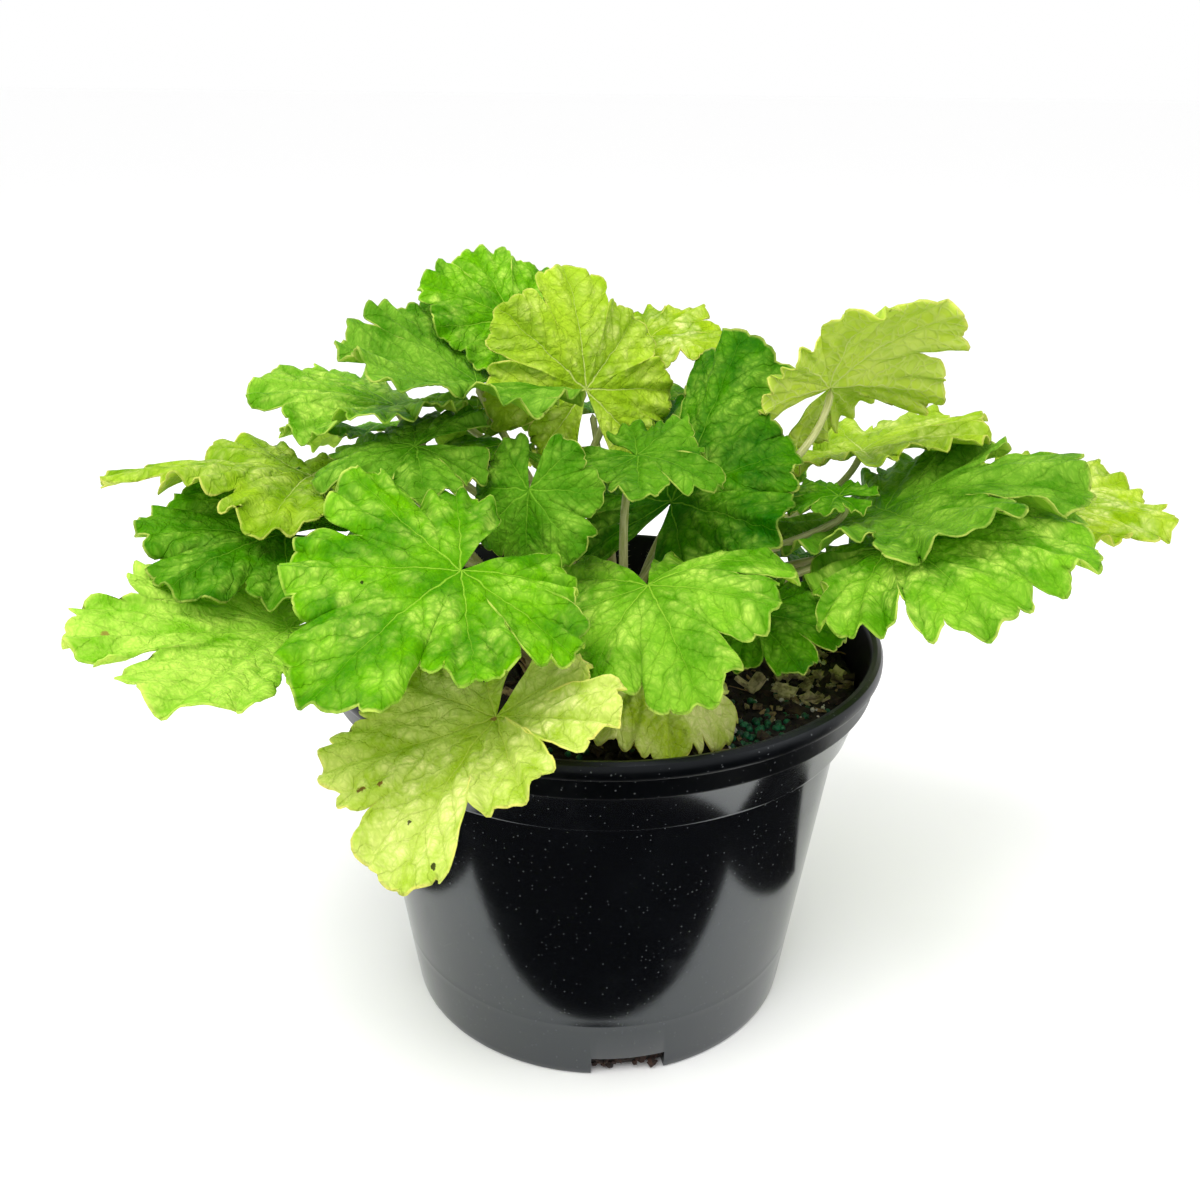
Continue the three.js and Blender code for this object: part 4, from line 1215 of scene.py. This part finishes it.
# %% Stalk mesh
STALK_FOOT_Z = 121
STALK_RADIUS = 2
STALK_TIP_RADIUS = 1.25
STALK_TIP_SINK = 0.3
STALK_SPREAD = 0.35  # the lean at the foot, as a share of the foot's place
STALK_RISE = 0.42  # how far the curve is pulled up, back and down, as shares of its length
STALK_BEHIND = 0.176
STALK_BELOW = 0.24
BOW_SHARE = 0.6
STALK_SIDES = 12
STALK_STEPS = 36


def stalk_path(leaf, shares):
    along, _, up = leaf.frame
    foot = np.array([*leaf.foot, STALK_FOOT_Z], float)
    tip = leaf.hub - STALK_TIP_SINK * up
    length = np.linalg.norm(tip - foot)
    pull = [STALK_SPREAD * foot[0], STALK_SPREAD * foot[1], STALK_RISE * length]
    rise = foot + pull + BOW_SHARE * leaf.bow
    arrive = tip - STALK_BEHIND * length * along - STALK_BELOW * length * up + BOW_SHARE * leaf.bow
    s = shares[:, None]
    start = (1 - s) ** 3 * foot + 3 * (1 - s) ** 2 * s * rise
    return start + 3 * (1 - s) * s**2 * arrive + s**3 * tip


def stalk_rings(leaf):
    """Along the stalk: its path, its heading, two directions square to it, and its radius."""
    shares = np.linspace(0, 1, STALK_STEPS + 1)
    path = stalk_path(leaf, shares)
    heading = np.gradient(path, axis=0)
    heading /= np.linalg.norm(heading, axis=1)[:, None]
    side = np.cross(heading, [1.0, 0.3, 0.1])
    side /= np.linalg.norm(side, axis=1)[:, None]
    radius = STALK_RADIUS + (STALK_TIP_RADIUS - STALK_RADIUS) * shares
    radius += 0.9 * np.exp(-12 * shares) + 0.35 * np.exp(-24 * (1 - shares))
    return shares, path, heading, side, np.cross(heading, side), radius


def spokes(turn, side, other):
    return np.cos(turn)[:, None] * side + np.sin(turn)[:, None] * other


def make_stalk(leaf):
    tube, column, row = new_grid("stalk", STALK_SIDES, STALK_STEPS)
    shares, path, _, side, other, radius = stalk_rings(leaf)
    radius[[0, -1]] = 0
    turn = 2 * math.pi * column / STALK_SIDES
    groove = 1 - 0.14 * np.exp(-((np.cos(turn / 2) / 0.4) ** 2))
    places = path[row] + (radius[row] * groove)[:, None] * spokes(turn, side[row], other[row])
    move_points(tube, places * MM)
    length = np.linalg.norm(path[-1] - path[0])
    lengthwise = np.stack([column / STALK_SIDES, row / STALK_STEPS * length / 10], axis=1)
    lengthwise = lengthwise[corner_points(tube)]
    add_maps(tube, shares[row], blade=lengthwise, veins=lengthwise)
    edit(tube, merge_close, face_outwards)
    return tube


print("faces of a stalk:", STALK_SIDES * STALK_STEPS)

# %% [markdown]
# ### Hairs
# Stalks of heuchera are covered with soft, short hairs, which catch the light along their edges.
# One hair is a cone of four faces. Its copies stand out from the stalk at random, and lean a
# little towards the blade.


# %% Hairs
HAIRS_PER_STALK = 130
HAIR_RADIUS = 0.06
HAIR_SPAN = (0.02, 0.96)  # shares of the stalk
HAIR_LENGTHS = (0.7, 1.5)


def make_hair():
    """A thin cone, 1 long, with its foot at the origin."""
    size = {"vertices": 3, "radius1": HAIR_RADIUS, "radius2": 0, "depth": 1}
    hair = start_from(bpy.ops.mesh.primitive_cone_add, **size)
    move_points(hair, points_of(hair) + [0, 0, 0.5])
    return hair


def hairs_on_stalk(leaf, hair):
    draw = np.random.default_rng(leaf.seed)
    shares, *rings = stalk_rings(leaf)
    spot = draw.uniform(*HAIR_SPAN, HAIRS_PER_STALK)
    path, heading, side, other, radius = [
        np.stack([np.interp(spot, shares, part) for part in np.atleast_2d(ring.T)], axis=1)
        for ring in rings
    ]
    out = spokes(draw.uniform(0, 2 * math.pi, HAIRS_PER_STALK), side, other)
    foot = path + 0.9 * radius * out
    lean = out + draw.normal(0.3, 0.25, (HAIRS_PER_STALK, 1)) * heading
    length = draw.uniform(*HAIR_LENGTHS, HAIRS_PER_STALK)
    local = points_of(hair)
    copies = []
    for i in range(HAIRS_PER_STALK):
        turn = Vector(lean[i]).to_track_quat("Z", "Y").to_matrix()
        copies.append(copy_of(hair, rotated(local * [1, 1, length[i]], turn) + foot[i]))
    return copies


print(HAIRS_PER_STALK, "hairs on each stalk")

# %% [markdown]
# ## Leaf colours
# A lime heuchera is not one green. The tissue along the veins is a deeper green, and between
# them it pales to yellow in soft clouds, as if held against the light. The margin is a thin
# bright line. Four tones cover the plant, from fresh green to old gold. Older leaves carry brown
# or black spots, which are listed with their places on the flat blade.

# %% Leaf colours
TONES = {
    # deep, body, cloud, vein, margin, underside
    "lime": ("3e8800", "78c000", "d8f46c", "acdc44", "dcec70", "b4d83c"),
    "green": ("2e7200", "549a00", "b0dc50", "88c034", "ccd868", "a4cc38"),
    "gold": ("80ac04", "bcd824", "fcfcac", "d4e460", "f0e87c", "d0e050"),
    "pale": ("8cb414", "b8d834", "ecf48c", "e8f094", "ece87c", "d4e84c"),
}
CLOUDS = {"lime": 0.9, "green": 0.7, "gold": 1.0, "pale": 0.8}
SPOTS = {
    # place on the flat blade and radius in centimetres, then the colour
    "over_rim": (
        (3.75, -2.2, 0.16, "6e4420"),
        (3.39, -1.74, 0.12, "7c4c28"),
        (5.05, 1.0, 0.1, "16120a"),
        (4.07, -0.45, 0.06, "16120a"),
        (0.1, 0.0, 0.13, "9a7440"),
    ),
    "front_left": ((2.5, -1.5, 0.07, "1c240a"), (2.8, 3.2, 0.06, "2a2c10")),
    "right_back": ((3.9, 0.45, 0.18, "4c2c12"),),
    "right_far": ((0.14, 3.9, 0.18, "7c5428"), (2.2, 1.4, 0.1, "8c6430")),
    "left_low": ((5.4, -0.4, 0.15, "9a8a3c"),),
}
print(len(TONES), "tones of leaf,", sum(len(spots) for spots in SPOTS.values()), "spots")

# %% [markdown]
# ### Veins and clouds
# An image could hold the veins, but a pattern of nodes stays sharp from close by. The lobe's own
# map gives the main and the side veins, because its values count the side veins. A Voronoi
# texture gives the net of small veins, and noise bends it, so that its lines don't run straight.
# The clouds are products of soft noises that fade at the veins, the hub and the margin.


# %% Veins and clouds
class LeafPattern:
    """The maps that both sides of a blade share: veins, nets of small veins, clouds."""

    def __init__(self, skin):
        flat = self.flat = skin.node("UVMap", uv_map="blade")
        along, across, _ = skin.numbers_of(skin.node("UVMap", uv_map="veins"))
        self.reach = skin.attribute("reach")
        drift = skin.node("TexNoise", {"Vector": flat, "Scale": 1.6, "Detail": 2.0}, out=1)
        drift = skin.node("VectorMath", {0: drift, "Scale": 0.45}, operation="SCALE")
        warped = skin.node("VectorMath", {0: flat, 1: drift}, operation="ADD")
        wobble = skin.ramp(skin.noise(flat, 1.1, 3.0), 0.2, 0.8, -0.3, 0.3)
        from_branch = skin.sum("PINGPONG", skin.sum("ADD", along, wobble), 0.5)
        wander = skin.ramp(skin.noise(flat, 1.3, 2.0), 0.2, 0.8, -0.07, 0.07)
        self.from_main = skin.sum("ABSOLUTE", skin.sum("ADD", across, wander))
        main_width = skin.ramp(self.reach, 0.0, 1.0, 0.05, 0.01)
        self.main = skin.ramp(skin.sum("DIVIDE", self.from_main, main_width), 0.3, 1.0, 1.0, 0.0)
        self.branch = skin.ramp(from_branch, 0.0, 0.07, 1.0, 0.0)
        self.cell, self.net = self.small_veins(skin, warped, 2.3, 0.13)
        self.fine_cell, self.fine_net = self.small_veins(skin, warped, 6.0, 0.2)
        side = skin.ramp(from_branch, 0.0, 0.3, 0.5, 1.0)
        away = skin.ramp(self.from_main, 0.03, 0.4, 0.25, 1.0)
        patch = skin.ramp(skin.noise(flat, 0.8, 4.0, 0.62), 0.36, 0.64)
        field = skin.ramp(skin.noise(flat, 0.33, 2.0), 0.34, 0.58, 0.4, 1.0)
        outer = skin.ramp(self.reach, 0.08, 0.45, 0.2, 1.0)
        rim = skin.ramp(self.reach, 0.82, 0.98, 1.0, 0.4)
        in_cell = skin.ramp(self.cell, 0.05, 0.7, 0.65, 1.0)
        self.cloud = skin.product(patch, field, in_cell, side, away, outer, rim)
        self.grain = skin.noise(flat, 8.0, 4.0, 0.7)
        self.shade = skin.ramp(skin.noise(flat, 0.5, 3.0), 0.36, 0.62)

    def small_veins(self, skin, where, scale, width):
        """Cells, from 0 at their border to 1 inside, and the net of lines between them."""
        inputs = {"Vector": where, "Scale": scale}
        edge = skin.node("TexVoronoi", inputs, feature="DISTANCE_TO_EDGE")
        return skin.ramp(edge, 0.0, 0.4), skin.ramp(edge, 0.02, width, 1.0, 0.0)


print("maps of a blade: veins, nets, clouds")

# %% [markdown]
# ### The two sides of a blade
# The upper side lays clouds, veins and margin over the tone, one after the other. The underside
# is paler and duller, with raised veins. Leaves are thin, so some of the light comes through: a
# Translucent shader mixed into the Principled one does that.

# %% Sides of a blade
SHEEN = 0.04
LIGHT_THROUGH = 0.3


def blade_shader(skin, colour, roughness, bump):
    """A leaf surface with a slight sheen that lets some light through."""
    surface = skin.surface(colour, roughness, Normal=bump, Specular_IOR_Level=SHEEN)
    inside = skin.node("BsdfTranslucent", {"Color": colour, "Normal": bump})
    mixed = skin.node("MixShader", {0: LIGHT_THROUGH, 1: surface, 2: inside})
    return skin.finish(mixed)


def mixed_rgb(share, a, b):
    return tuple(max(0.0, x + share * (y - x)) for x, y in zip(a, b))


def tone_of(leaf):
    """The colours of a leaf, moved towards pale or deep by its own amount."""
    deep, body, cloud, vein, margin, under = [rgb(code) for code in TONES[leaf.tone]]
    own_deep = mixed_rgb(leaf.paler, deep, body)
    own_body = mixed_rgb(abs(leaf.paler), body, cloud if leaf.paler > 0 else deep)
    return own_deep, own_body, cloud, vein, margin, under


def add_spots(skin, leaf, pattern, colour):
    """Spots with ragged borders at their places on the blade."""
    ragged = skin.ramp(skin.noise(pattern.flat, 9.0, 3.0), 0.2, 0.8, -0.06, 0.06)
    for x, y, radius, code in SPOTS.get(leaf.name, ()):
        centre = (x + FLAT_SHIFT * leaf.seed, y + FLAT_SHIFT * leaf.seed, 0)
        off = skin.node("VectorMath", {0: pattern.flat, 1: centre}, operation="DISTANCE", out=1)
        inside = skin.ramp(skin.sum("ADD", off, ragged), 0.6 * radius, radius, 0.9, 0.0)
        colour = skin.blend(inside, colour, rgb(code))
    return colour


def upper_skin(leaf):
    deep, body, cloud, vein, margin, _ = tone_of(leaf)
    skin = Finish(leaf.node + " upper")
    pattern = LeafPattern(skin)
    colour = skin.blend(pattern.shade, deep, body)
    # Near the hub the colour runs to the deep green: partly the blade's own deeper base, partly
    # painted shade where the cupped blade and the leaves above would darken it.
    hub_green_and_painted_shade = skin.ramp(pattern.reach, 0.0, 0.5, 0.7, 0.0)
    near_vein = skin.ramp(pattern.from_main, 0.0, 0.3, 0.35, 0.0)
    colour = skin.blend(skin.sum("MAXIMUM", hub_green_and_painted_shade, near_vein), colour, deep)
    strength = CLOUDS[leaf.tone] * (1 + 0.12 * scatter(leaf.seed, 90))
    colour = skin.blend(skin.product(pattern.cloud, strength), colour, cloud)
    lines = skin.product(pattern.net, 0.42)
    for part, share in ((pattern.fine_net, 0.28), (pattern.branch, 0.25)):
        lines = skin.sum("MAXIMUM", lines, skin.product(part, share))
    colour = skin.blend(lines, colour, deep)
    fading = skin.ramp(pattern.reach, 0.15, 0.9, 0.65, 0.3)
    colour = skin.blend(skin.product(pattern.main, fading), colour, vein)
    colour = skin.blend(skin.ramp(pattern.grain, 0.4, 0.7, 0.0, 0.28), colour, body)
    patchy = skin.ramp(skin.noise(pattern.flat, 1.2, 2.0), 0.35, 0.65, 0.15, 0.75)
    edge = skin.ramp(pattern.reach, 0.98, 0.996)
    colour = skin.blend(skin.product(edge, patchy), colour, margin)
    colour = add_spots(skin, leaf, pattern, colour)
    height = skin.sum("ADD", skin.product(pattern.cell, 0.8), skin.product(pattern.fine_cell, 0.3))
    groove = skin.sum("MAXIMUM", pattern.main, skin.product(pattern.branch, 0.7))
    height = skin.sum("SUBTRACT", height, groove)
    return blade_shader(skin, colour, 0.45, skin.bump(height, 0.55, 0.001))


def under_skin(leaf):
    _, body, cloud, vein, margin, under = tone_of(leaf)
    skin = Finish(leaf.node + " under")
    pattern = LeafPattern(skin)
    colour = skin.blend(skin.product(pattern.cloud, 0.8), under, cloud)
    colour = skin.blend(skin.ramp(pattern.shade, 0.0, 1.0, 0.55, 0.0), colour, body)
    lines = skin.sum("MAXIMUM", pattern.main, skin.product(pattern.branch, 0.75))
    net = skin.sum("MAXIMUM", lines, skin.product(pattern.net, 0.4))
    colour = skin.blend(net, colour, vein)
    edge = skin.ramp(pattern.reach, 0.975, 0.995)
    colour = skin.blend(skin.product(edge, 0.6), colour, margin)
    height = skin.sum("SUBTRACT", net, skin.product(pattern.cell, 0.15))
    return blade_shader(skin, colour, 0.6, skin.bump(height, 0.45, 0.001))


print("light that comes through a blade:", LIGHT_THROUGH)

# %% [markdown]
# ### Colours of stalks and hairs
# Stalks are pale green with fine streaks along them, and browner towards the crown. The noise
# for the streaks is squeezed across the stalk and stretched along it. The hairs are paler still.


# %% Colours of stalks and hairs
def stalk_skin(leaf):
    skin = Finish(leaf.node + " stalk")
    flat = skin.node("UVMap", uv_map="blade")
    reach = skin.attribute("reach")
    stretch = skin.node("VectorMath", {0: flat, 1: (9.0, 0.8, 1.0)}, operation="MULTIPLY")
    streak = skin.noise(stretch, 1.2, 4.0, 0.6)
    colour = skin.blend(skin.ramp(streak, 0.3, 0.7), rgb("98a04c"), rgb("cfcc94"))
    low = skin.ramp(reach, 0.0, 0.7, 0.9, 0.0)
    colour = skin.blend(low, colour, rgb("bca678"))
    return skin.finish(skin.surface(colour, 0.5, Normal=skin.bump(streak, 0.4, 0.0005)))


def hair_skin():
    """Pale hairs, some of them greener than others."""
    skin = Finish("pale hairs")
    tone = skin.ramp(skin.noise(skin.place(), 400.0, 2.0), 0.3, 0.7)
    colour = skin.blend(tone, rgb("dfe2c0"), rgb("b9c487"))
    return skin.finish(skin.surface(colour, 0.4))


print("skins for blades, stalks and hairs ready")

# %% [markdown]
# ## The leaves themselves
# Each blade gets its thickness from Solidify, which can also give the new underside a material
# of its own. Then blade, stalk and hairs are joined, because a leaf is one piece.

# %% Build the leaves
BLADE_THICKNESS = 0.5
hair = make_hair()
dress(hair, hair_skin())
leaf_faces = 0
for leaf in LEAVES:
    blade = make_blade(leaf)
    dress(blade, upper_skin(leaf), under_skin(leaf))
    modify(blade, "SOLIDIFY", thickness=BLADE_THICKNESS * MM, offset=0, material_offset=1)
    stalk = make_stalk(leaf)
    dress(stalk, stalk_skin(leaf))
    piece = join([blade, stalk, *hairs_on_stalk(leaf, hair)], "grown_" + leaf.name)
    shade_smooth(piece)
    hand_over(piece, leaf.node)
    leaf_faces += len(piece.data.polygons)
bpy.data.objects.remove(hair)
print("leaves:", leaf_faces, "faces")
